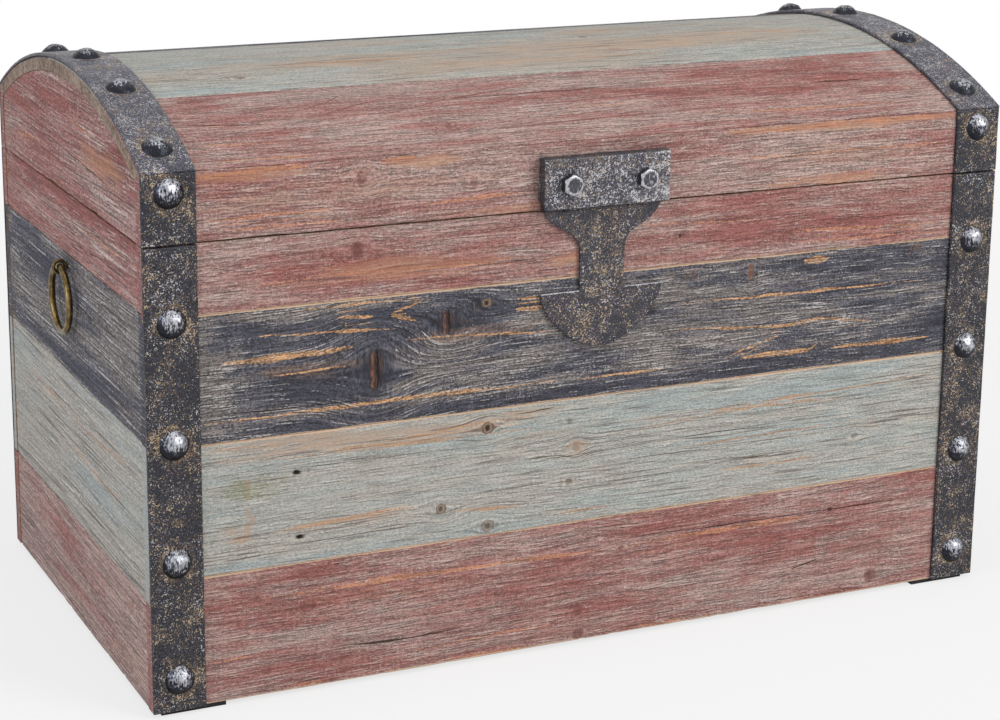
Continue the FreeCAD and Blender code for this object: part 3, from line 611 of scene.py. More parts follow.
def make_board(node, body, slot, material, along, across, place, seed, top=None, rim_extra=0.0,
               thick=ARCH_BOARD, back_columns=2, stretch=1.0, end_kind=END_GRAIN):
    """One weathered board in the place of its solid. top, where given, is its height at each place along."""
    wood = bpy.context.scene.trunk_wood
    pitch = wood.pitch / MM
    rows = stations(along[0], along[1], pitch, BOARD_RIM)
    columns = stations(across[0], across[1], .56 * pitch, BOARD_RIM)
    run, rise = np.meshgrid(rows, columns, indexing="ij")
    rim = np.minimum.reduce([run - along[0], along[1] - run, rise - across[0], across[1] - rise])
    if top is not None:
        rise = across[0] + (rise - across[0]) * (top(rows)[:, None] - across[0]) / (across[1] - across[0])
    marks = BOARD_MARKS.get(node)
    if marks is None:
        marks = guessed_marks(seed, np.array([along[0], across[0]]), np.array([along[1], across[1]]))
    depth, fields = weather(run, rise, rim, marks, seed, wood.arris / MM, wood.relief / MM, stretch)
    if end_kind == PAINTED_END:
        rim = np.minimum(rise - across[0], across[1] - rise)
    low_extra, high_extra = KEPT_EDGES.get(node, (rim_extra, rim_extra))
    middle = (columns - across[0]) / (across[1] - across[0])
    kept = low_extra + (high_extra - low_extra) * ease(middle, .3, .7)
    fields["rim"] = (np.clip(rim + kept, 0, 20), (20.0,))
    mesh = slab_mesh("weathered_" + node, run, rise, depth, place, thick, fields, back_columns, end_kind)
    piece = new_piece("weathered_" + node, mesh, material)
    hand_over(piece, body, slot, node)
    return piece


# Finishes

class Wiring:
    """Short hand for wiring the nodes of one tree."""

    def __init__(self, tree):
        self.tree = tree

    def feed(self, socket, value):
        if isinstance(value, bpy.types.NodeSocket):
            self.tree.links.new(value, socket)
        elif socket.type == "RGBA" and len(value) == 3:
            socket.default_value = (*value, 1)
        else:
            socket.default_value = value

    def add(self, kind, inputs=None, **settings):
        node = self.tree.nodes.new(kind)
        for key, value in settings.items():
            setattr(node, key, value)
        for key, value in (inputs or {}).items():
            self.feed(node.inputs[key], value)
        return node

    def math(self, operation, a, b=0.0):
        return self.add("ShaderNodeMath", {0: a, 1: b}, operation=operation).outputs[0]


class Web(Wiring):
    """Short hand for the nodes of one finish."""

    def __init__(self, name):
        self.material = bpy.data.materials.new(name)
        self.material.use_nodes = True
        super().__init__(self.material.node_tree)
        self.tree.nodes.clear()

    def sum(self, *terms):
        """Adds (value, weight) pairs and plain numbers."""
        total = None
        for term in terms:
            if isinstance(term, tuple):
                term = self.math("MULTIPLY", term[0], term[1])
            total = term if total is None else self.math("ADD", total, term)
        return total

    def times(self, *values):
        total = values[0]
        for value in values[1:]:
            total = self.math("MULTIPLY", total, value)
        return total

    def unsigned(self, value):
        return self.math("ABSOLUTE", value)

    def mix(self, amount, a, b, blend="MIX"):
        node = self.add("ShaderNodeMix", {0: amount}, data_type="RGBA", blend_type=blend)
        self.feed(node.inputs[6], a)
        self.feed(node.inputs[7], b)
        return node.outputs[2]

    def step(self, value, low, high, start=0.0, end=1.0):
        inputs = {"Value": value, "From Min": low, "From Max": high, "To Min": start, "To Max": end}
        return self.add("ShaderNodeMapRange", inputs, interpolation_type="SMOOTHSTEP").outputs[0]

    def noise(self, vector, size, detail=2.0, rough=.5, shift=0.0):
        scaled_place = self.add("ShaderNodeVectorMath", {0: vector, 1: tuple(1 / part for part in size),
                                                         2: (shift, shift * .7, shift * .3)},
                                operation="MULTIPLY_ADD").outputs[0]
        return self.add("ShaderNodeTexNoise", {"Vector": scaled_place, "Scale": 1.0, "Detail": detail,
                                               "Roughness": rough}).outputs["Fac"]

    def ramp(self, value, *stops):
        node = self.add("ShaderNodeValToRGB", {"Fac": value})
        ramp = node.color_ramp
        while len(ramp.elements) < len(stops):
            ramp.elements.new(1.0)
        for element, (place, colour) in zip(ramp.elements, stops):
            element.position = place
            element.color = (*colour, 1)
        return node.outputs["Color"]

    def attribute(self, name, output="Fac"):
        return self.add("ShaderNodeAttribute", attribute_name=name).outputs[output]

    def parts(self, vector):
        return self.add("ShaderNodeSeparateXYZ", {0: vector}).outputs

    def length(self, vector):
        return self.add("ShaderNodeVectorMath", {0: vector}, operation="LENGTH").outputs["Value"]

    def stretched(self, vector, factors):
        return self.add("ShaderNodeVectorMath", {0: vector, 1: factors}, operation="MULTIPLY").outputs[0]

    def place(self):
        """Where each point lies in the trunk, in millimetres."""
        return self.stretched(self.add("ShaderNodeTexCoord").outputs["Object"], (1 / MM,) * 3)

    def bump(self, height, strength, distance):
        return self.add("ShaderNodeBump", {"Height": height, "Strength": strength,
                                           "Distance": distance}).outputs["Normal"]

    def finish(self, colour, rough, normal, **fixed):
        inputs = {"Base Color": colour, "Roughness": rough, "Normal": normal}
        shader = self.add("ShaderNodeBsdfPrincipled", inputs)
        for key, value in fixed.items():
            self.feed(shader.inputs[key.replace("_", " ")], value)
        self.add("ShaderNodeOutputMaterial", {0: shader.outputs[0]})
        return self.material


# Noise in the grain of a board: size along it and across it in millimetres, detail, roughness, shift.
GRAIN_FIELDS = {
    "dash": (2.2, .9, 1, .5, 0.0),
    "fibre": (24, 1.2, 2, .5, 3.3),
    "thread": (95, 1.8, 3, .6, 5.1),
    "band": (260, 6, 3, .55, 9.3),
    "patch": (120, 24, 4, .6, 2.7),
    "zone": (55, 8, 3, .55, 7.7),
    "sweep": (210, 30, 2, .5, 12.1),
    "saw": (1.3, 13, 2, .6, 3.9),
    "speck": (1.0, .85, 1, .5, 8.8),
    "pore": (48, 1.0, 2, .5, 4.4),
    "scratch": (30, 1.15, 1, .5, 6.6),
}
# Colours of the wear on each paint, then its amounts. fleck is the size of a stroke of lime in millimetres.
PAINT_RECIPES = {
    "red": {
        "dust": shade(178, 150, 142), "chalk": shade(208, 188, 180), "tint": shade(196, 134, 106),
        "smudge": shade(116, 72, 68), "saw": .14, "warm": .52, "wear": .60, "lime": .59, "lime_cover": .44,
        "fleck": (12, .95), "hatch": .25, "under": .8, "pore": .7, "contrast": .4, "streak": .8,
        "pine": .18,
    },
    "green": {
        "dust": shade(183, 176, 166), "chalk": shade(206, 205, 200), "tint": shade(192, 150, 118),
        "smudge": shade(112, 96, 80), "saw": .18, "warm": .5, "wear": .61, "lime": .60, "lime_cover": .5,
        "fleck": (14, .95), "hatch": .25, "under": .7, "pore": 1.0, "contrast": .3, "streak": .75,
        "pine": .6,
    },
    "blue": {
        "dust": shade(130, 123, 120), "chalk": shade(188, 183, 180), "tint": shade(202, 158, 108),
        "smudge": shade(142, 96, 64), "saw": .18, "warm": .45, "wear": .61, "lime": .582, "lime_cover": .64,
        "fleck": (20, .95), "hatch": .3, "under": 1.0, "pore": .9, "contrast": .55, "streak": .9,
        "pine": .75,
    },
}


class LimedPaint(Web):
    """Old paint brushed thin over pine, with lime in the grain."""

    def __init__(self, name, coat, deep, recipe):
        super().__init__(name)
        self.coat, self.deep, self.recipe = coat, deep, recipe
        self.read_board()
        self.read_knots()
        colour = self.painted()
        for layer in (self.streaked, self.limed_over, self.pored, self.knotted, self.cracked, self.rubbed,
                      self.sided):
            colour = layer(colour)
        height = self.sum((self.weave, 1.0), (self.pore, .35), (self.saw, .12), (self.gap, -1.2),
                          (self.lime_mask, .2))
        self.finish(colour, self.step(self.weave, .38, .62, .62, .84), self.bump(height, .7, .0007),
                    Specular_IOR_Level=.2)

    def read_board(self):
        """Fetches what the boards carry, and lays the noise of their grain."""
        self.grain = self.attribute("grain", "Vector")
        self.rim = self.attribute("rim")
        self.side = self.attribute("bare_side")
        tone = self.add("ShaderNodeAttribute", attribute_name="tone").outputs
        self.dusty, self.full, self.amber = self.parts(tone["Color"])
        self.moss = tone["Alpha"]
        self.limed, self.dirt, self.kind = self.parts(self.attribute("spots", "Vector"))
        for field, (along, across, detail, rough, shift) in GRAIN_FIELDS.items():
            setattr(self, field, self.noise(self.grain, (along, across, 1), detail, rough, shift))
        self.weave = self.sum((self.dash, .22), (self.fibre, .34), (self.thread, .28), (self.speck, .16))

    def read_knots(self):
        """Fetches the nearest knot, with a wobbly ring about it."""
        self.spot = self.attribute("knot", "Vector")
        self.knot_side, self.knot_rise, self.dark = self.parts(self.spot)
        self.wobble = self.noise(self.spot, (.75, .75, .75), 2, .6)
        self.flat = self.add("ShaderNodeCombineXYZ", {0: self.knot_side, 1: self.knot_rise}).outputs[0]
        self.ring = self.sum(self.length(self.flat), (self.wobble, .9), -.45)
        self.near_knot = self.times(self.step(self.ring, 2.4, .9), self.dark)

    def knot_is(self, sort):
        """One where the nearest knot is of the named kind."""
        number = KNOT_KINDS.index(sort)
        return self.times(self.math("GREATER_THAN", self.kind, number - .5),
                          self.math("LESS_THAN", self.kind, number + .5))

    def line(self, name, low, high, *ragged):
        """How far a named line covers each point, and its half width; ragged terms fray the edges."""
        gap, half, _ = self.parts(self.attribute(name, "Vector"))
        cover = self.step(self.math("SUBTRACT", self.sum(half, *ragged), self.unsigned(gap)), low, high)
        return self.times(cover, self.math("GREATER_THAN", half, 0.0)), half

    def painted(self):
        """The coat, thick, thin and dusty by turns, with amber and mossy places."""
        recipe = self.recipe
        timber = tuple(bpy.context.scene.trunk_wood.timber)
        self.pine = self.ramp(self.sum((self.band, .35), (self.weave, .65)), (.38, scaled(timber, .6)),
                              (.5, timber), (.62, scaled(timber, 1.35)))
        level = self.sum((self.weave, .42), (self.patch, .40), (self.zone, .40), (self.band, .22),
                         (self.sweep, .24), (self.saw, recipe["saw"]), (self.dusty, .11), (self.full, -.12),
                         -.34 - .5 * recipe["saw"])
        paint = self.ramp(level, (.39, self.deep), (.49, self.coat), (.61, recipe["dust"]))
        amber = self.sum((self.amber, 1.0), (self.patch, .9), (self.weave, .5), (self.saw, .25))
        self.warm = self.step(amber, .95, 1.75)
        glow = self.mix(self.step(self.weave, .38, .62), recipe["tint"], self.pine)
        paint = self.mix(self.times(self.warm, recipe["warm"]), paint, glow)
        mossy = self.times(self.moss, self.step(self.weave, .38, .6, .7, .3))
        return self.mix(mossy, paint, shade(132, 134, 92))

    def streaked(self, colour):
        """Streaks of bare wood, and places worn through to it."""
        recipe = self.recipe
        line, half = self.line("streak", -.2, .4, (self.dash, 1.2), (self.fibre, 1.0), -1.1)
        breaks = self.math("MAXIMUM", self.step(self.sum((self.saw, .6), (self.speck, .4)), .33, .46, .3, 1),
                           self.step(half, 1.3, 2.2))
        open_line = self.times(line, breaks, recipe["streak"])
        thin = self.sum((self.weave, .7), (self.band, .3))
        worn = self.times(self.step(thin, recipe["wear"], recipe["wear"] + .07), .6)
        bare = self.mix(recipe["pine"], recipe["tint"], self.pine)
        return self.mix(self.math("MAXIMUM", open_line, worn), colour, bare)

    def limed_over(self, colour):
        """Strokes of lime with their shadows, chalky scratches and hatching across the grain."""
        recipe, limed, chalk = self.recipe, self.limed, self.recipe["chalk"]
        fleck = (*recipe["fleck"], 1)
        below = self.add("ShaderNodeVectorMath", {0: self.grain, 1: (0, .75, 0)}).outputs[0]
        crowd = self.sum((self.patch, .32), (self.zone, .34), (self.thread, .26), (self.speck, .34),
                         (limed, .12), (self.dusty, .04), (self.full, -.06), (self.warm, -.10),
                         (self.near_knot, -.2), -.63)
        edge = (recipe["lime"], recipe["lime"] + .07)
        self.lime_mask = self.step(self.sum(self.noise(self.grain, fleck, 1, .5, 1.3), crowd), *edge)
        # Painted shadow: a dark copy of each stroke of lime, set just beside it.
        under = self.times(self.step(self.sum(self.noise(below, fleck, 1, .5, 1.3), crowd), *edge),
                           self.math("SUBTRACT", 1.0, self.lime_mask))
        colour = self.mix(self.times(under, recipe["under"]), colour, self.mix(.55, colour, GRIME_AND_SHADOW))
        colour = self.mix(self.times(self.lime_mask, recipe["lime_cover"]), colour, chalk)
        dark_scratch = self.times(self.step(self.scratch, .46, .38), limed, .7)
        colour = self.mix(dark_scratch, colour, scaled(self.deep, .8))
        pale_scratch = self.times(self.step(self.sum(self.scratch, (limed, .07)), .59, .64), limed, .9)
        colour = self.mix(pale_scratch, colour, self.mix(.5, chalk, shade(230, 224, 214)))
        hatch = self.times(self.step(self.saw, .55, .7),
                           self.step(self.sum((self.patch, .8), (self.speck, .4)), .6, .74))
        return self.mix(self.times(hatch, recipe["hatch"]), colour, chalk)

    def pored(self, colour):
        """Dark pores, and the play of light and dark from fibre to fibre."""
        recipe = self.recipe
        pores = self.times(self.step(self.pore, .43, .36),
                           self.step(self.sum((self.zone, .5), (self.band, .5)), .4, .58, .2, 1))
        colour = self.mix(self.times(pores, recipe["pore"]), colour, self.mix(.6, colour, shade(62, 46, 38)))
        shine = self.step(self.sum((self.dash, .38), (self.speck, .32), (self.fibre, .42)), .42, .70,
                          1 - recipe["contrast"], 1 + recipe["contrast"])
        calm = self.step(self.warm, .1, .8, 1, .35)
        return self.mix(calm, colour, self.mix(1.0, colour, shine, "MULTIPLY"))

    def knotted(self, colour):
        """Smudged knots, ringed eyes and split knots."""
        ring, dark, wobble = self.ring, self.dark, self.wobble
        soft = self.times(self.step(ring, 1.3, .65), dark, self.knot_is("smudge"),
                          self.step(self.dash, .3, .55, 1, .75))
        colour = self.mix(soft, colour, self.recipe["smudge"])
        rings = self.ramp(self.times(ring, .5), (.10, shade(40, 31, 28)), (.22, shade(114, 94, 76)),
                          (.34, shade(166, 142, 116)), (.43, shade(92, 72, 60)), (.50, shade(120, 100, 84)))
        eye = self.times(self.step(ring, 1.12, .92), dark, self.knot_is("eye"), .9)
        colour = self.mix(eye, colour, rings)
        split = self.times(dark, self.knot_is("split"))
        halo = self.times(self.step(ring, 1.7, .3), split, self.step(self.saw, .35, .65, .9, .5))
        colour = self.mix(halo, colour, shade(48, 48, 56))
        narrow = self.stretched(self.flat, (1.7, .95, 1))
        heart = self.step(self.sum(self.length(narrow), (wobble, .9), -.45), 1.05, .6)
        figure = self.ramp(self.noise(self.spot, (.16, 1.1, 1), 2, .6, 5.0), (.36, shade(42, 35, 34)),
                           (.52, shade(74, 58, 52)), (.66, shade(104, 80, 68)))
        colour = self.mix(self.times(heart, split, .85), colour, figure)
        tall = self.times(self.step(self.unsigned(self.knot_rise), 1.15, .7), split)
        ember = self.step(self.unsigned(self.sum(self.knot_side, (wobble, .45), .12)), .15, .04)
        broken = self.step(self.sum((self.speck, .5), (self.dash, .5)), .42, .58)
        colour = self.mix(self.times(ember, tall, broken), colour, shade(140, 96, 74))
        slit = self.step(self.unsigned(self.sum(self.knot_side, (wobble, .5), -.3)), .11, .03)
        return self.mix(self.times(slit, tall), colour, shade(18, 15, 15))

    def cracked(self, colour):
        """Dark veins, then cracks, holes and dirt."""
        vein, _ = self.line("vein", -.15, .3, (self.fibre, .6), -.12)
        colour = self.mix(self.times(vein, .75), colour, scaled(self.deep, .72))
        crack, _ = self.line("crack", -.05, .3, (self.fibre, .8), -.36)
        pit = self.times(self.step(self.ring, 1.25, .5), self.dark, self.knot_is("hole"))
        self.gap = self.math("MAXIMUM", self.math("MAXIMUM", self.times(crack, .85), pit), self.dirt)
        return self.mix(self.gap, colour, shade(34, 27, 25))

    def rubbed(self, colour):
        """Edges rubbed pale, and the dark seam beside the next board."""
        reach = self.sum((self.thread, 1.9), (self.dash, .7), -.05)
        bare = self.step(self.math("SUBTRACT", reach, self.rim), -.1, .3)
        colour = self.mix(self.times(bare, .9), colour, self.mix(.85, self.pine, shade(226, 198, 170)))
        seam = self.step(self.sum(self.rim, (self.dash, .3)), .62, .32, 0, .88)
        return self.mix(seam, colour, shade(52, 41, 36))

    def sided(self, colour):
        """Bare timber on the hidden sides, end grain on cut ends, and paint on the ends that show."""
        place = self.place()
        mottle = self.sum((self.noise(place, (2.2, 2.2, 2.2), 2, .6), .6),
                          (self.noise(place, (11, 11, 11), 2, .5, 4.0), .4))
        inner = self.ramp(self.sum((self.thread, .4), (self.fibre, .3), (self.band, .3)),
                          (.38, shade(128, 98, 72)), (.5, shade(168, 134, 101)), (.62, shade(194, 162, 126)))
        inner = self.mix(self.times(self.step(self.pore, .42, .36), .5), inner, shade(104, 78, 56))
        each_board = self.noise(self.grain, (90000, 90000, 5.3), 0, .5, 1.0)
        inner = self.mix(1.0, inner, self.step(each_board, .3, .7, .74, 1.16), "MULTIPLY")
        end_grain = self.ramp(mottle, (.36, shade(106, 88, 76)), (.5, shade(150, 130, 114)),
                              (.64, shade(178, 159, 142)))
        colour = self.mix(self.math("GREATER_THAN", self.side, BARE_SIDE - .5), colour, inner)
        colour = self.mix(self.math("GREATER_THAN", self.side, END_GRAIN - .5), colour, end_grain)
        painted = self.math("GREATER_THAN", self.side, PAINTED_END - .5)
        return self.mix(painted, colour, self.painted_ends(place, mottle))

    def painted_ends(self, place, mottle):
        """The board ends that lie in the trunk's end faces, painted in one go with the end boards."""
        wood = bpy.context.scene.trunk_wood
        rise = self.parts(place)[2]
        wipe = self.noise(place, (9000, 22, 1.2), 1, .5, 2.0)
        brushed = None
        for row, colour in enumerate(ROW_COLOURS):
            strip = self.mix(self.step(mottle, .38, .62), tuple(getattr(wood, colour + "_deep")),
                             tuple(getattr(wood, colour)))
            if row == 0:
                brushed = strip
            else:
                seam = millimetres(f"left_plank_{row}")[1][2]
                brushed = self.mix(self.math("GREATER_THAN", rise, seam), brushed, strip)
                groove = self.step(self.unsigned(self.math("SUBTRACT", rise, seam)), .7, .3, 0, .8)
                brushed = self.mix(groove, brushed, shade(58, 45, 39))
        brushed = self.mix(self.step(wipe, .42, .34, 0, .6), brushed, self.mix(.6, brushed, GRIME_AND_SHADOW))
        return self.mix(self.step(wipe, .57, .64, 0, .7), brushed, self.recipe["chalk"])


def painted_finishes():
    """The three paints of the boards, by slot; each is mixed once and then shared."""
    wood = bpy.context.scene.trunk_wood
    finishes = {}
    for colour, recipe in PAINT_RECIPES.items():
        name = f"Limed {colour} paint"
        finishes[f"{colour}_paint"] = bpy.data.materials.get(name) or LimedPaint(
            name, tuple(getattr(wood, colour)), tuple(getattr(wood, colour + "_deep")), recipe).material
    return finishes


def bare_timber(name, size):
    """Plain planed pine for the frame inside; size is the grain's stretch on each axis, in millimetres."""
    web = Web(name)
    place = web.place()
    fibre = web.noise(place, size, 4, .6)
    band = web.noise(place, tuple(part * 5 for part in size), 3, .5, 3.0)
    colour = web.ramp(web.sum((fibre, .5), (band, .5)), (.34, shade(138, 102, 70)),
                      (.5, shade(176, 138, 100)), (.68, shade(204, 170, 130)))
    return web.finish(colour, web.step(fibre, .3, .7, .55, .75), web.bump(fibre, .4, .0004),
                      Specular_IOR_Level=.3)


def flecked_iron(name, base, fleck, silvered):
    """Charcoal iron with gilt and silver flecks of one size. One stored value marks worn places, and also
    carries a painted highlight along the hasp tongue's shoulders and painted shade along the bands' rims;
    'gilded' marks the gilt ones, another stored value marks sides and backs, which get painted shade, and
    silvered says how much more silver than gilt there is."""
    iron = bpy.context.scene.trunk_iron
    web = Web(name)
    place = web.place()
    rub = web.attribute("rub")
    gilded = web.attribute("gilded")
    cloud = web.noise(place, (24, 24, 24), 3, .55)
    drift = web.noise(place, (8, 8, 8), 2, .5, 6.0)
    veil = web.noise(place, (15, 15, 15), 2, .5, 31.0)
    grit = web.noise(place, (fleck, fleck, fleck), 0, .5)
    spark = web.noise(place, (.95 * fleck,) * 3, 0, .5, 11.0)
    smear = web.noise(place, (2.6, 2.6, 1.1), 2, .6, 15.0)
    skin = web.noise(place, (1.15, 1.15, 1.15), 1, .5, 21.0)
    wall = web.attribute("wall")
    shift = web.step(web.sum((cloud, .6), (drift, .4)), .38, .62)
    colour = web.mix(shift, scaled(base, .8), scaled(base, 1.25))
    haze = web.step(web.sum((cloud, .5), (drift, .5), (gilded, .14)), .54, .74, 0, .5)
    colour = web.mix(haze, colour, shade(90, 72, 55))
    # Painted glint and shade of the hammered skin: a fine mottle multiplied into the coat.
    colour = web.mix(1.0, colour, web.step(skin, .34, .68, .35, 1.8), "MULTIPLY")
    dull = web.noise(place, (2.4, 2.4, 2.4), 1, .5, 41.0)
    gilt = web.step(web.sum((grit, 1.0), (cloud, .6), (drift, .4), (gilded, .10)), 1.14, 1.21)
    gilt_tone = web.mix(web.step(dull, .42, .62), shade(122, 100, 78), tuple(iron.gilt))
    colour = web.mix(web.times(gilt, .92), colour, gilt_tone)
    silver = web.step(web.sum((spark, 1.0), (drift, .2), (veil, .5), (rub, .18), silvered), 1.02, 1.09)
    silver_tone = web.mix(web.step(dull, .36, .56), shade(116, 114, 120), tuple(iron.silver))
    colour = web.mix(web.times(silver, .9), colour, silver_tone)
    worn = web.step(web.sum((rub, .5), (smear, .6), (drift, .25)), .84, 1.05)
    colour = web.mix(web.times(worn, .5), colour, tuple(iron.silver))
    # Painted shade: sides and backs go near black.
    colour = web.mix(web.step(wall, .1, .6, 0, .75), colour, (.010, .010, .012))
    height = web.sum((gilt, .5), (silver, .5), (skin, .8), (smear, .3))
    return web.finish(colour, web.step(web.sum((skin, .5), (drift, .5)), .3, .7, .40, .62),
                      web.bump(height, .5, .0006), Metallic=.15, Specular_IOR_Level=.5)


def hammered_steel(name, dark, bright, spread):
    """Blackened steel burnished on its high places, with a painted highlight towards the top of each stud
    and painted shade lower down and on the studs that face up; spread sets how far the bright part reaches.
    """
    web = Web(name)
    place = web.place()
    crown = web.attribute("crown")
    lift = web.attribute("lift")
    brush = web.noise(place, (.9, .9, 3.4), 2, .6)
    blot = web.noise(place, (2.6, 2.6, 2.6), 2, .55, 4.0)
    # The bright part is burnish on the high places plus a painted highlight towards the top of each stud.
    shine = web.step(web.sum((crown, .45), (lift, .36), (brush, 1.5), (blot, .8)), spread, spread + .4)
    colour = web.mix(shine, dark, bright)
    height = web.sum((brush, .5), (blot, 1.0))
    return web.finish(colour, web.step(brush, .3, .7, .26, .46), web.bump(height, .5, .0007), Metallic=.88)


def aged_metal(name, base, patina, rough):
    """Plain metal with darker patina in clouds and fine scratches."""
    web = Web(name)
    place = web.place()
    cloud = web.noise(place, (7, 7, 7), 3, .6)
    scratch = web.noise(place, (.6, 5, 5), 2, .6, 8.0)
    colour = web.mix(web.step(web.sum((cloud, .7), (scratch, .3)), .4, .62), patina, base)
    return web.finish(colour, web.step(scratch, .3, .7, rough, rough + .18), web.bump(scratch, .25, .0002),
                      Metallic=.95)


def screw_steel():
    """Dull yellowed steel that the wood screws share with the nuts of the ring pulls."""
    name = "Screw steel"
    return bpy.data.materials.get(name) or aged_metal(name, shade(142, 132, 112), shade(76, 68, 56), .34)


def pad_rubber():
    """Black rubber of the foot pads."""
    web = Web("Pad rubber")
    place = web.place()
    grit = web.noise(place, (.9, .9, .9), 2, .6)
    colour = web.mix(web.step(grit, .4, .7), (.012, .012, .013), (.03, .03, .031))
    return web.finish(colour, web.step(grit, .3, .7, .6, .8), web.bump(grit, .3, .0003),
                      Specular_IOR_Level=.35)


# Operators

def flat_place(axis, sign, low, high):
    """A function that sets (along, across, depth) on an upright side of a solid, sunk along one axis."""
    face = low[axis] if sign > 0 else high[axis]

    def place(along, across, depth):
        sunk = face + sign * depth
        return np.stack([sunk, along, across] if axis == 0 else [along, sunk, across], -1)

    return place


class TRUNK_OT_box_boards(bpy.types.Operator):
    """Lays the sixteen weathered boards of the box"""
    bl_idname = "trunk.box_boards"
    bl_label = "Box boards"

    def execute(self, context):
        paints = painted_finishes()
        long_wear = {"rim_extra": 0.0, "stretch": 1.0}
        end_wear = {"rim_extra": END_KEPT, "stretch": END_STRETCH}
        sides = (("front", 1, 1, long_wear), ("back", 1, -1, long_wear),
                 ("left", 0, 1, end_wear), ("right", 0, -1, end_wear))
        for number, (side, axis, sign, wear) in enumerate(sides):
            for row, colour in enumerate(ROW_COLOURS, 1):
                node = f"{side}_plank_{row}"
                slot = f"{colour}_paint"
                low, high = millimetres(node)
                run = 1 - axis
                make_board(node, "chest", slot, paints[slot], (low[run], high[run]), (low[2], high[2]),
                           flat_place(axis, sign, low, high), 11 + 10 * number + row,
                           end_kind=PAINTED_END, **wear)
        return {"FINISHED"}


class TRUNK_OT_lid_boards(bpy.types.Operator):
    """Lays the rails, the arched ends and the four arched boards of the lid"""
    bl_idname = "trunk.lid_boards"
    bl_label = "Lid boards"

    def execute(self, context):
        paints = painted_finishes()
        for node, seed, sign in (("lid_front_rail", 71, 1), ("lid_back_rail", 72, -1)):
            low, high = millimetres(node)
            face = low[1] if sign > 0 else high[1]
            tall = high[2] - low[2]

            def rail(a, b, d, face=face, sign=sign, base=low[2], tall=tall):
                rise = base + (b - base) * (1 - d * MITRE_DROP / ARCH_BOARD / tall)
                return np.stack([a, face + sign * d, rise], -1)

            make_board(node, "lid", "red_paint", paints["red_paint"], (low[0], high[0]), (low[2], high[2]),
                       rail, seed, end_kind=PAINTED_END)
        for node, seed, sign in (("lid_left_end", 73, 1), ("lid_right_end", 74, -1)):
            low, high = millimetres(node)
            inner = ARCH_RADIUS - ARCH_BOARD

            def crown(y, inner=inner):
                return ARCH_CENTRE + np.sqrt(inner ** 2 - (y - MIDDLE_Y) ** 2)

            make_board(node, "lid", "red_paint", paints["red_paint"], (low[1], high[1]), (low[2], high[2]),
                       flat_place(0, sign, low, high), seed, top=crown, rim_extra=END_KEPT,
                       stretch=END_STRETCH)
        for number, colour in enumerate(ROW_COLOURS):
            slot = f"{colour}_paint"
            node = f"arch_board_{number + 1}"
            low, high = millimetres(node)
            start, stop = ARCH_EDGES[number], ARCH_EDGES[number + 1]
            start_back = -ARCH_INNER_CORNER if number == 0 else start
            stop_back = ARCH_INNER_CORNER if number == 3 else stop

            def curve(a, b, d, start=start, stop=stop, start_back=start_back, stop_back=stop_back):
                share = (b - arc(start)) / (arc(stop) - arc(start))
                sunk = d / ARCH_BOARD
                lean = (1 - share) * (start_back - start) + share * (stop_back - stop)
                angle = np.radians(start + share * (stop - start) + sunk * lean)
                return on_arch(a, angle, ARCH_RADIUS - d)

            make_board(node, "lid", slot, paints[slot], (low[0], high[0]), (arc(start), arc(stop)), curve,
                       75 + number, back_columns=15)
        return {"FINISHED"}


class TRUNK_OT_inner_timber(bpy.types.Operator):
    """Finishes the floor, the cleats, the corner posts and the lid blocks"""
    bl_idname = "trunk.inner_timber"
    bl_label = "Inner timber"

    def execute(self, context):
        along = bare_timber("Pine along the trunk", (60, 2.2, 2.2))
        dress(("floor_panel", "floor_cleats", "lid_blocks"), along)
        dress(("corner_posts",), bare_timber("Pine upright", (2.2, 2.2, 60)))
        return {"FINISHED"}


BAND_RIM = (0, .16, .4, .8, 1.4, 2.2)
BAND_PITCH = (2.2, 1.9)


def make_band(node, body, along, across, place, thick, studs, seed, finish):
    """One hammered band: rounded edges, shallow dents, rims painted darker as edge shade, and gilt round its
    studs.
    """
    iron = bpy.context.scene.trunk_iron
    rows = stations(along[0], along[1], BAND_PITCH[0], BAND_RIM)
    columns = stations(across[0], across[1], BAND_PITCH[1], BAND_RIM)
    run, rise = np.meshgrid(rows, columns, indexing="ij")
    rim = np.minimum.reduce([run - along[0], along[1] - run, rise - across[0], across[1] - rise])
    dents = noise(run / 15, rise / 12, seed) * .6 + noise(run / 7, rise / 6, seed + 1) * .4
    depth = iron.dent / MM * dents
    soft = .7 + .5 * noise(run / 22, rise / 22, seed + 2)
    inside = np.clip(soft - rim, 0, None)
    depth = depth + soft - np.sqrt(np.clip(soft ** 2 - inside ** 2, 0, None))
    # Painted shade: less silver and wear along the rims, for a dark edge line.
    rub = -.3 * (1 - ease(rim, .1, 1.3))
    gilded = np.zeros(run.shape)
    for stud in studs:
        far = np.hypot(run - stud, rise - (across[0] + across[1]) / 2)
        gilded = np.maximum(gilded, np.exp(-((far - 10.5) / 3.2) ** 2))
    # The sides and back are marked for painted shade.
    fields = {"rub": (rub, (0.0,)), "gilded": (gilded, (0.0,)), "wall": (np.zeros(run.shape), (1.0,))}
    mesh = slab_mesh("hammered_" + node, run, rise, depth, place, thick, fields)
    piece = new_piece("hammered_" + node, mesh, finish)
    hand_over(piece, body, "strap_iron", node)


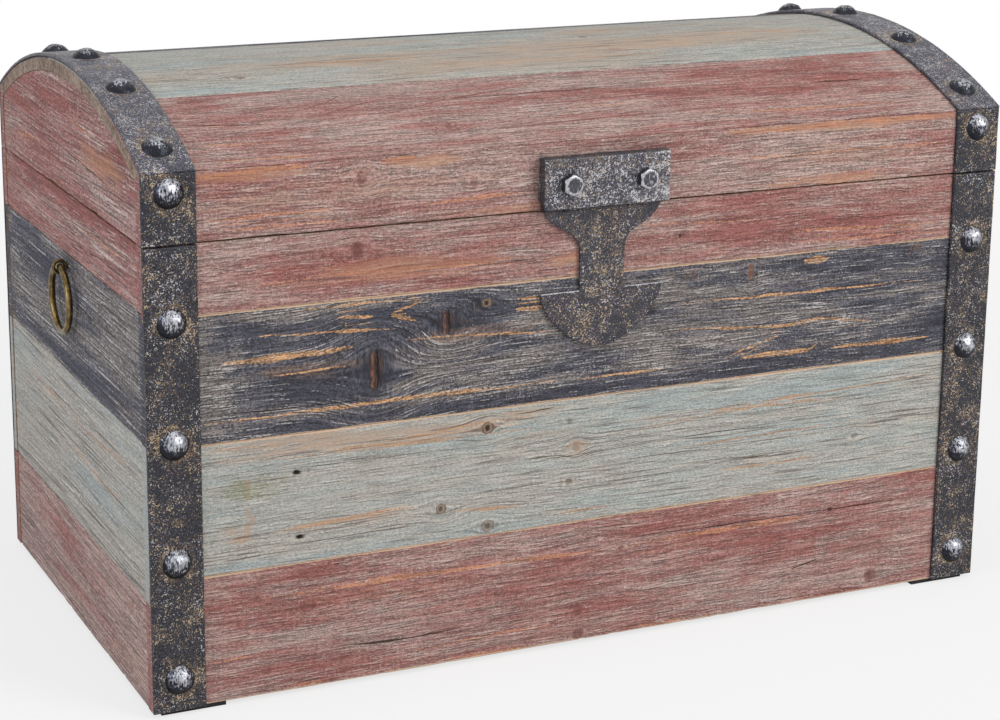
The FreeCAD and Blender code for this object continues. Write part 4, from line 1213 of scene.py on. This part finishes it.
class TRUNK_OT_bands(bpy.types.Operator):
    """Forges the ten iron bands over the corners and the lid"""
    bl_idname = "trunk.bands"
    bl_label = "Iron bands"

    def execute(self, context):
        seed = 300
        black = tuple(context.scene.trunk_iron.black)
        flecked = flecked_iron("Flecked iron", black, .85, -.04)
        # Painted light: the arch bands get a paler, more silvered copy of the iron, as their tops catch the
        # light.
        lit_arch_iron = flecked_iron("Flecked iron of the lid", scaled(black, 2.6), .85, .07)
        for lead, body, studs in (("strap", "chest", BODY_STUDS), ("lid_strap", "lid", (LID_STUD,))):
            for side in ("front", "back"):
                for hand in ("left", "right"):
                    node = f"{lead}_{side}_{hand}"
                    low, high = millimetres(node)
                    face, sign = (low[1], 1) if side == "front" else (high[1], -1)

                    def upright(a, b, d, face=face, sign=sign):
                        return np.stack([b, face + sign * d, a], -1)

                    make_band(node, body, (low[2], high[2]), (low[0], high[0]), upright, high[1] - low[1],
                              studs, seed, flecked)
                    seed += 10
        for hand in ("left", "right"):
            node = f"arch_strap_{hand}"
            low, high = millimetres(node)
            outer = high[2] - ARCH_CENTRE
            reach = math.asin((high[1] - low[1]) / 2 / outer)

            def curve(a, b, d, outer=outer):
                return on_arch(b, a / outer, outer - d)

            studs = [outer * math.radians(angle) for angle in ARCH_STUDS]
            make_band(node, "lid", (-outer * reach, outer * reach), (low[0], high[0]), curve,
                      outer - ARCH_RADIUS - BAND_CLEARANCE, studs, seed, lit_arch_iron)
            seed += 10
        return {"FINISHED"}


def stud_tree():
    """Node tree that sets one hammered dome on each given point, facing along its 'way'."""
    wires = Wiring(bpy.data.node_groups.new("Hammered studs", "GeometryNodeTree"))
    add, math_of = wires.add, wires.math
    faces = wires.tree.interface
    faces.new_socket("Places", in_out="INPUT", socket_type="NodeSocketGeometry")
    for label in ("Radius", "Height", "Dent"):
        faces.new_socket(label, in_out="INPUT", socket_type="NodeSocketFloat")
    faces.new_socket("Seed", in_out="INPUT", socket_type="NodeSocketInt")
    faces.new_socket("Finish", in_out="INPUT", socket_type="NodeSocketMaterial")
    faces.new_socket("Studs", in_out="OUTPUT", socket_type="NodeSocketGeometry")

    def stored(name, kind="FLOAT_VECTOR"):
        return add("GeometryNodeInputNamedAttribute", {"Name": name}, data_type=kind).outputs["Attribute"]

    given = add("NodeGroupInput").outputs
    ball = add("GeometryNodeMeshUVSphere", {"Segments": 40, "Rings": 26, "Radius": 1.0}).outputs["Mesh"]
    x, y, z = add("ShaderNodeSeparateXYZ", {0: add("GeometryNodeInputPosition").outputs[0]}).outputs
    wide2 = math_of("MULTIPLY", given["Radius"], given["Radius"])
    swell = math_of("DIVIDE", math_of("ADD", wide2, math_of("MULTIPLY", given["Height"], given["Height"])),
                    math_of("MULTIPLY", given["Height"], 2.0))
    flat2 = math_of("MULTIPLY", wide2, math_of("ADD", math_of("MULTIPLY", x, x), math_of("MULTIPLY", y, y)))
    cap = math_of("SUBTRACT", math_of("SQRT", math_of("SUBTRACT", math_of("MULTIPLY", swell, swell), flat2)),
                  math_of("SUBTRACT", swell, given["Height"]))
    upper = math_of("MULTIPLY", math_of("GREATER_THAN", z, -.001), math_of("MAXIMUM", cap, 0.0))
    shaped = add("ShaderNodeCombineXYZ", {0: math_of("MULTIPLY", x, given["Radius"]),
                                          1: math_of("MULTIPLY", y, given["Radius"]), 2: upper}).outputs[0]
    crown = math_of("DIVIDE", upper, given["Height"])
    marked = add("GeometryNodeStoreNamedAttribute", {"Geometry": ball, "Name": "crown", "Value": crown},
                 data_type="FLOAT", domain="POINT").outputs[0]
    dome = add("GeometryNodeSetPosition", {"Geometry": marked, "Position": shaped}).outputs[0]
    facing = add("FunctionNodeAlignRotationToVector", {"Vector": stored("way")}, axis="Z").outputs[0]
    placed = add("GeometryNodeInstanceOnPoints", {"Points": given["Places"], "Instance": dome,
                                                  "Rotation": facing}).outputs[0]
    spin = add("FunctionNodeRandomValue", {2: 0.0, 3: FULL_TURN, "Seed": given["Seed"]},
               data_type="FLOAT").outputs[1]
    about = add("ShaderNodeCombineXYZ", {2: spin}).outputs[0]
    spun = add("GeometryNodeRotateInstances", {"Instances": placed, "Rotation": about,
                                               "Local Space": True}).outputs[0]
    real = add("GeometryNodeRealizeInstances", {"Geometry": spun}).outputs[0]
    place = add("GeometryNodeInputPosition").outputs[0]
    out = add("ShaderNodeVectorMath", {0: place, 1: stored("centre")}, operation="SUBTRACT").outputs[0]
    rise = add("ShaderNodeSeparateXYZ", {0: out}).outputs[2]
    lean = add("ShaderNodeSeparateXYZ", {0: stored("way")}).outputs[2]
    # Painted light: lighter higher on each dome, darker lower on it, and darker on the studs that face up.
    lift = math_of("SUBTRACT", math_of("DIVIDE", rise, given["Radius"]), math_of("MULTIPLY", lean, .58))
    real = add("GeometryNodeStoreNamedAttribute", {"Geometry": real, "Name": "lift", "Value": lift},
               data_type="FLOAT", domain="POINT").outputs[0]
    dents = add("ShaderNodeTexNoise", {"Vector": place, "Scale": 230.0, "Detail": 1.5}).outputs["Fac"]
    height = stored("crown", "FLOAT")
    deep = math_of("MULTIPLY", math_of("MULTIPLY", math_of("SUBTRACT", dents, .62), given["Dent"]),
                   math_of("MINIMUM", math_of("MULTIPLY", height, 3.0), 1.0))
    push = add("ShaderNodeVectorMath", {0: add("GeometryNodeInputNormal").outputs[0], "Scale": deep},
               operation="SCALE").outputs[0]
    beaten = add("GeometryNodeSetPosition", {"Geometry": real, "Offset": push}).outputs[0]
    smooth = add("GeometryNodeSetShadeSmooth", {"Geometry": beaten, "Shade Smooth": True}).outputs[0]
    done = add("GeometryNodeSetMaterial", {"Geometry": smooth, "Material": given["Finish"]}).outputs[0]
    add("NodeGroupOutput", {"Studs": done})
    return wires.tree


class TRUNK_OT_studs(bpy.types.Operator):
    """Drives the rows of domed studs into the bands"""
    bl_idname = "trunk.studs"
    bl_label = "Domed studs"

    def execute(self, context):
        iron = context.scene.trunk_iron
        finish = hammered_steel("Burnished stud steel", shade(46, 47, 54), shade(190, 191, 198), 1.38)
        tree = stud_tree()
        inputs = {item.name: item.identifier for item in tree.interface.items_tree if item.in_out == "INPUT"}
        front, back = millimetres("strap_front_left")[0][1], millimetres("strap_back_left")[1][1]
        crest = millimetres("arch_strap_left")[1][2] - ARCH_CENTRE
        rows = {"body_studs": ("chest", []), "lid_studs": ("lid", [])}
        for x in (-STUD_ROW, STUD_ROW):
            for y, way, sign in ((front, (0, -1, 0), 1), (back, (0, 1, 0), -1)):
                for z in BODY_STUDS:
                    rows["body_studs"][1].append(((x, y + sign * STUD_SUNK, z), way))
                rows["lid_studs"][1].append(((x, y + sign * STUD_SUNK, LID_STUD), way))
            for angle in ARCH_STUDS:
                lean = math.radians(angle)
                way = (0, math.sin(lean), math.cos(lean))
                rows["lid_studs"][1].append((tuple(on_arch(x, lean, crest - STUD_SUNK)), way))
        for node, (body, places) in rows.items():
            mesh = bpy.data.meshes.new("places_" + node)
            mesh.from_pydata([tuple(part * MM for part in place) for place, _ in places], [], [])
            add_attribute(mesh, "way", np.array([way for _, way in places]))
            add_attribute(mesh, "centre", np.array([place for place, _ in places]) * MM)
            seat = bpy.data.objects.new("places_" + node, mesh)
            context.scene.collection.objects.link(seat)
            setter = seat.modifiers.new("Studs", "NODES")
            setter.node_group = tree
            for label, value in (("Radius", iron.stud_radius), ("Height", iron.stud_height),
                                 ("Dent", STUD_DENT), ("Seed", iron.seed), ("Finish", finish)):
                setter[inputs[label]] = value
            ready = seat.evaluated_get(context.evaluated_depsgraph_get())
            domes = bpy.data.meshes.new_from_object(ready)
            bpy.data.objects.remove(seat)
            if not domes.polygons:
                raise RuntimeError("the stud tree made nothing")
            piece = new_piece("domed_" + node, domes, finish)
            hand_over(piece, body, "stud_steel", node)
        return {"FINISHED"}


def skinned_copy(node, grit, rounds):
    """A closed, evenly meshed copy of a solid with softened edges; grit is the mesh size in millimetres."""
    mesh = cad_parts[node].data.copy()
    shell = bmesh.new()
    shell.from_mesh(mesh)
    bmesh.ops.remove_doubles(shell, verts=shell.verts, dist=1e-6)
    shell.to_mesh(mesh)
    shell.free()
    blank = bpy.data.objects.new("blank_" + node, mesh)
    bpy.context.scene.collection.objects.link(blank)
    remesh = blank.modifiers.new("Skin", "REMESH")
    remesh.mode = "VOXEL"
    remesh.voxel_size = grit * MM
    remesh.use_smooth_shade = True
    soften = blank.modifiers.new("Soften", "SMOOTH")
    soften.factor = .5
    soften.iterations = rounds
    ready = blank.evaluated_get(bpy.context.evaluated_depsgraph_get())
    skinned = bpy.data.meshes.new_from_object(ready)
    bpy.data.objects.remove(blank)
    return skinned


def read_points(mesh, field):
    """One vector for each point of a mesh."""
    values = np.empty(len(mesh.vertices) * 3, np.float32)
    mesh.vertices.foreach_get(field, values)
    return values.reshape(-1, 3)


def edge_rub(mesh, points, normals, grit):
    """How far each point stands out from its neighbours, as a rubbed edge does."""
    edges = np.empty(len(mesh.edges) * 2, np.int64)
    mesh.edges.foreach_get("vertices", edges)
    edges = edges.reshape(-1, 2)
    step = points[edges[:, 1]] - points[edges[:, 0]]
    bend = np.zeros(len(points))
    near = np.zeros(len(points))
    for end, sign in ((0, 1), (1, -1)):
        np.add.at(bend, edges[:, end], sign * (step * normals[edges[:, end]]).sum(1) / (grit * MM))
        np.add.at(near, edges[:, end], 1)
    return ease(-bend / np.maximum(near, 1), .03, .22)


def forged_copy(node, grit, rounds, dent, seed):
    """A copy of a solid, rounded over at its edges and hammered, and its points in millimetres."""
    forged = skinned_copy(node, grit, rounds)
    points, normals = read_points(forged, "co"), read_points(forged, "normal")
    rub = edge_rub(forged, points, normals, grit)
    place = points / MM
    x, z = place[:, 0], place[:, 2]
    dents = noise(x / 13, z / 11, seed) * .6 + noise(x / 5.5, z / 5, seed + 1) * .4
    points = points - normals * (dent * MM * dents)[:, None]
    forged.vertices.foreach_set("co", points.astype(np.float32).ravel())
    forged.update()
    add_attribute(forged, "rub", rub)
    # Sides that face neither front nor back are marked for painted shade.
    add_attribute(forged, "wall", 1 - ease(np.abs(normals[:, 1]), .2, .75))
    return forged, place


def mesh_values(mesh, name):
    """Reads back one stored value for each point."""
    values = np.empty(len(mesh.vertices), np.float32)
    mesh.attributes[name].data.foreach_get("value", values)
    return values


def change_values(mesh, name, values):
    """Writes new values over a stored one."""
    mesh.attributes[name].data.foreach_set("value", np.asarray(values, np.float32))


def forge_cover():
    """The bent cover plate, silvered on its rubbed half."""
    mesh, place = forged_copy("hasp_cover", .75, 3, .3, 501)
    x, z = place[:, 0], place[:, 2]
    add_attribute(mesh, "gilded", np.full(len(place), .25))
    wear = -.1 + .45 * ease(x, -30, -5) + .4 * ease(x, 10, 45) + .6 * (noise(x / 9, z / 6, 503) - .5)
    change_values(mesh, "rub", np.clip(mesh_values(mesh, "rub") + wear, 0, 1))
    finish = flecked_iron("Flecked cover iron", scaled(bpy.context.scene.trunk_iron.hasp, 1.5), .85, .08)
    hand_over(new_piece("hammered_hasp_cover", mesh, finish), "lid", "hasp_iron", "hasp_cover")


def forge_tongue(finish):
    """The swinging tongue, gilt down its middle, with a painted highlight along its shoulders."""
    mesh, place = forged_copy("hasp_tongue", .7, 2, .22, 511)
    x, z = place[:, 0], place[:, 2]
    gilt_low, gilt_high, gilt_half = 202, 224, 30
    stem_half, stem_top = 17, 252
    gilt = np.exp(-(x / gilt_half) ** 2) * ease(z, gilt_low, gilt_high)
    add_attribute(mesh, "gilded", -.4 + .8 * gilt)
    shoulders = (np.abs(x) > stem_half) & (z < stem_top)
    ledge = z[shoulders].max()
    # Painted highlight along the top edges of the shoulders.
    shoulder_highlight = 1.8 * shoulders * (1 - ease(np.abs(z - ledge), .5, 1.6))
    change_values(mesh, "rub", .3 * mesh_values(mesh, "rub") - .45 + .3 * gilt + shoulder_highlight)
    hand_over(new_piece("hammered_hasp_tongue", mesh, finish), "hasp", "hasp_iron", "hasp_tongue")


def forge_bolts(finish):
    """The two bolts, brighter towards the rims of their heads, with painted shade on their sides."""
    mesh, place = forged_copy("hasp_bolts", .42, 2, .12, 521)
    x, z = place[:, 0], place[:, 2]
    left = x < x.mean()
    from_left, from_right = (np.hypot(x - x[head].mean(), z - z[head].mean()) for head in (left, ~left))
    away = np.minimum(from_left, from_right)
    head_inner, head_outer = 4.3, 5.2
    # The sides of the heads are taken down as painted shade.
    add_attribute(mesh, "crown", .9 * ease(away, head_inner, head_outer) - 1.8 * mesh_values(mesh, "wall"))
    hand_over(new_piece("worn_hasp_bolts", mesh, finish), "lid", "bolt_steel", "hasp_bolts")


class TRUNK_OT_hasp(bpy.types.Operator):
    """Forges the hasp: cover, leaf, tongue, pin, bolts and nuts"""
    bl_idname = "trunk.hasp"
    bl_label = "Drop hasp"

    def execute(self, context):
        iron = flecked_iron("Flecked hasp iron", tuple(context.scene.trunk_iron.hasp), .95, 0.0)
        bolt = hammered_steel("Worn bolt steel", shade(80, 80, 86), shade(192, 192, 195), 1.16)
        forge_cover()
        forge_tongue(iron)
        forge_bolts(bolt)
        dress(("hasp_leaf", "hasp_pin"), iron)
        dress(("hasp_nuts",), bolt)
        return {"FINISHED"}


class TRUNK_OT_hinges(bpy.types.Operator):
    """Finishes the back hinges and every wood screw"""
    bl_idname = "trunk.hinges"
    bl_label = "Hinges and screws"

    def execute(self, context):
        bronze = aged_metal("Bronzed hinge steel", shade(96, 84, 70), shade(48, 42, 38), .38)
        dress(("hinge_plate_left", "hinge_plate_right", "hinge_flap_left", "hinge_flap_right"), bronze)
        dress(("hinge_pins",), aged_metal("Hinge pin steel", shade(120, 114, 106), shade(62, 57, 52), .3))
        dress(("plate_screws", "flap_screws", "post_screws", "block_screws"), screw_steel())
        return {"FINISHED"}


class TRUNK_OT_ring_pulls(bpy.types.Operator):
    """Finishes the two ring pulls with their eye bolts"""
    bl_idname = "trunk.ring_pulls"
    bl_label = "Ring pulls"

    def execute(self, context):
        brass = aged_metal("Old brass", tuple(context.scene.trunk_iron.brass), shade(96, 80, 50), .16)
        dress(("ring_left", "ring_right", "ring_eyes"), brass)
        dress(("ring_eye_nuts",), screw_steel())
        return {"FINISHED"}


class TRUNK_OT_foot_pads(bpy.types.Operator):
    """Finishes the rubber pads under the corners"""
    bl_idname = "trunk.foot_pads"
    bl_label = "Foot pads"

    def execute(self, context):
        dress(("foot_pads",), pad_rubber())
        return {"FINISHED"}


def set_camera(scene, stage):
    """Stands the camera at its eye point, turned, dipped and rolled."""
    camera = bpy.data.cameras.new("Camera")
    camera.lens = stage.lens
    camera.sensor_width = 36
    camera.sensor_fit = "HORIZONTAL"
    camera.shift_x, camera.shift_y = stage.shift
    holder = bpy.data.objects.new("Camera", camera)
    scene.collection.objects.link(holder)
    ahead = Vector((math.sin(stage.turn) * math.cos(stage.dip), math.cos(stage.turn) * math.cos(stage.dip),
                    -math.sin(stage.dip)))
    level = Vector((math.cos(stage.turn), -math.sin(stage.turn), 0))
    right = math.cos(stage.roll) * level + math.sin(stage.roll) * level.cross(ahead)
    up = right.cross(ahead)
    holder.matrix_world = Matrix((right, up, -ahead)).transposed().to_4x4()
    holder.location = stage.eye
    scene.camera = holder


def set_lamps(scene, stage):
    """Hangs three soft boxes that face the trunk."""
    target = Vector((0, 0, .2))
    lamps = (("Key soft box", stage.key, (1.5, -2.3, 1.7), (1.5, 1.5), WHITE),
             ("Top soft box", stage.top, (-.2, -.3, 2.4), (1.8, 1.4), WHITE),
             ("Side soft box", stage.fill, (-2.3, -.5, 1.0), (1.3, 1.3), (.9, .98, 1.13)))
    for label, power, spot, size, tint in lamps:
        lamp = bpy.data.lights.new(label, "AREA")
        lamp.energy = power
        lamp.color = tint
        lamp.shape = "RECTANGLE"
        lamp.size, lamp.size_y = size
        holder = bpy.data.objects.new(label, lamp)
        scene.collection.objects.link(holder)
        holder.location = spot
        holder.rotation_euler = (target - Vector(spot)).to_track_quat("-Z", "Y").to_euler()


def set_room(scene, stage):
    """Even light from all round, which the camera sees as white."""
    world = bpy.data.worlds.new("Pale room")
    scene.world = world
    world.use_nodes = True
    wires = Wiring(world.node_tree)
    wires.tree.nodes.clear()
    path = wires.add("ShaderNodeLightPath").outputs
    seen = wires.math("MAXIMUM", path["Is Camera Ray"], path["Is Transmission Ray"])
    gloss = wires.math("ADD", wires.math("MULTIPLY", path["Is Glossy Ray"], .7), seen)
    light = wires.add("ShaderNodeBackground", {"Color": WHITE, "Strength": stage.sky}).outputs[0]
    white = wires.add("ShaderNodeBackground", {"Color": WHITE}).outputs[0]
    blend = wires.add("ShaderNodeMixShader", {0: gloss, 1: light, 2: white}).outputs[0]
    wires.add("ShaderNodeOutputWorld", {0: blend})


def set_floor(stage):
    """A wide pale floor that keeps the trunk's soft shadow and fades into the room."""
    half = 14.0
    mesh = bpy.data.meshes.new("floor")
    corners = [(-half, -half, 0), (half, -half, 0), (half, half, 0), (-half, half, 0)]
    mesh.from_pydata(corners, [], [(0, 1, 2, 3)])
    web = Web("Pale floor")
    path = web.add("ShaderNodeLightPath").outputs
    place = web.add("ShaderNodeTexCoord").outputs["Object"]
    grit = web.noise(place, (.6, .6, .6), 2)
    pale = web.mix(web.times(grit, .04), tuple(stage.floor), WHITE)
    matt = web.add("ShaderNodeBsdfDiffuse", {"Color": pale}).outputs[0]
    glow = web.add("ShaderNodeEmission", {"Color": WHITE, "Strength": 1.0}).outputs[0]
    far = web.step(web.length(place), .5, 2.2, .72, 1)
    mirrored = web.math("MAXIMUM", web.times(path["Is Glossy Ray"], .5), path["Is Transmission Ray"])
    share = web.times(web.math("MAXIMUM", path["Is Camera Ray"], mirrored), far)
    blend = web.add("ShaderNodeMixShader", {0: share, 1: matt, 2: glow}).outputs[0]
    web.add("ShaderNodeOutputMaterial", {0: blend})
    new_piece("floor", mesh, web.material)


class TRUNK_OT_stage(bpy.types.Operator):
    """Sets the camera, the soft boxes, the room light and the pale floor"""
    bl_idname = "trunk.stage"
    bl_label = "Stage"

    def execute(self, context):
        scene = context.scene
        scene.view_settings.view_transform = "Standard"
        set_camera(scene, scene.trunk_stage)
        set_lamps(scene, scene.trunk_stage)
        set_room(scene, scene.trunk_stage)
        set_floor(scene.trunk_stage)
        return {"FINISHED"}


class TRUNK_PT_sidebar(bpy.types.Panel):
    """Lists the making steps of the trunk"""
    bl_idname = "TRUNK_PT_sidebar"
    bl_label = "Painted plank trunk"
    bl_space_type = "VIEW_3D"
    bl_region_type = "UI"
    bl_category = "Trunk"

    def draw(self, context):
        for group in (context.scene.trunk_wood, context.scene.trunk_iron, context.scene.trunk_stage):
            box = self.layout.box()
            for key in group.__annotations__:
                box.prop(group, key)
        for step in STEPS:
            self.layout.operator(step.bl_idname)


STEPS = (TRUNK_OT_box_boards, TRUNK_OT_lid_boards, TRUNK_OT_inner_timber, TRUNK_OT_bands, TRUNK_OT_studs,
         TRUNK_OT_hasp, TRUNK_OT_hinges, TRUNK_OT_ring_pulls, TRUNK_OT_foot_pads, TRUNK_OT_stage)
GROUPS = (("trunk_wood", TrunkWood), ("trunk_iron", TrunkIron), ("trunk_stage", TrunkStage))


def register():
    for name, group in GROUPS:
        bpy.utils.register_class(group)
        setattr(bpy.types.Scene, name, PointerProperty(type=group))
    for kind in (*STEPS, TRUNK_PT_sidebar):
        bpy.utils.register_class(kind)


def unregister():
    for kind in (TRUNK_PT_sidebar, *reversed(STEPS)):
        bpy.utils.unregister_class(kind)
    for name, group in reversed(GROUPS):
        delattr(bpy.types.Scene, name)
        bpy.utils.unregister_class(group)


def main():
    register()
    bpy.ops.trunk.box_boards()
    bpy.ops.trunk.lid_boards()
    bpy.ops.trunk.inner_timber()
    bpy.ops.trunk.bands()
    bpy.ops.trunk.studs()
    bpy.ops.trunk.hasp()
    bpy.ops.trunk.hinges()
    bpy.ops.trunk.ring_pulls()
    bpy.ops.trunk.foot_pads()
    bpy.ops.trunk.stage()


if __name__ == "__main__":
    main()
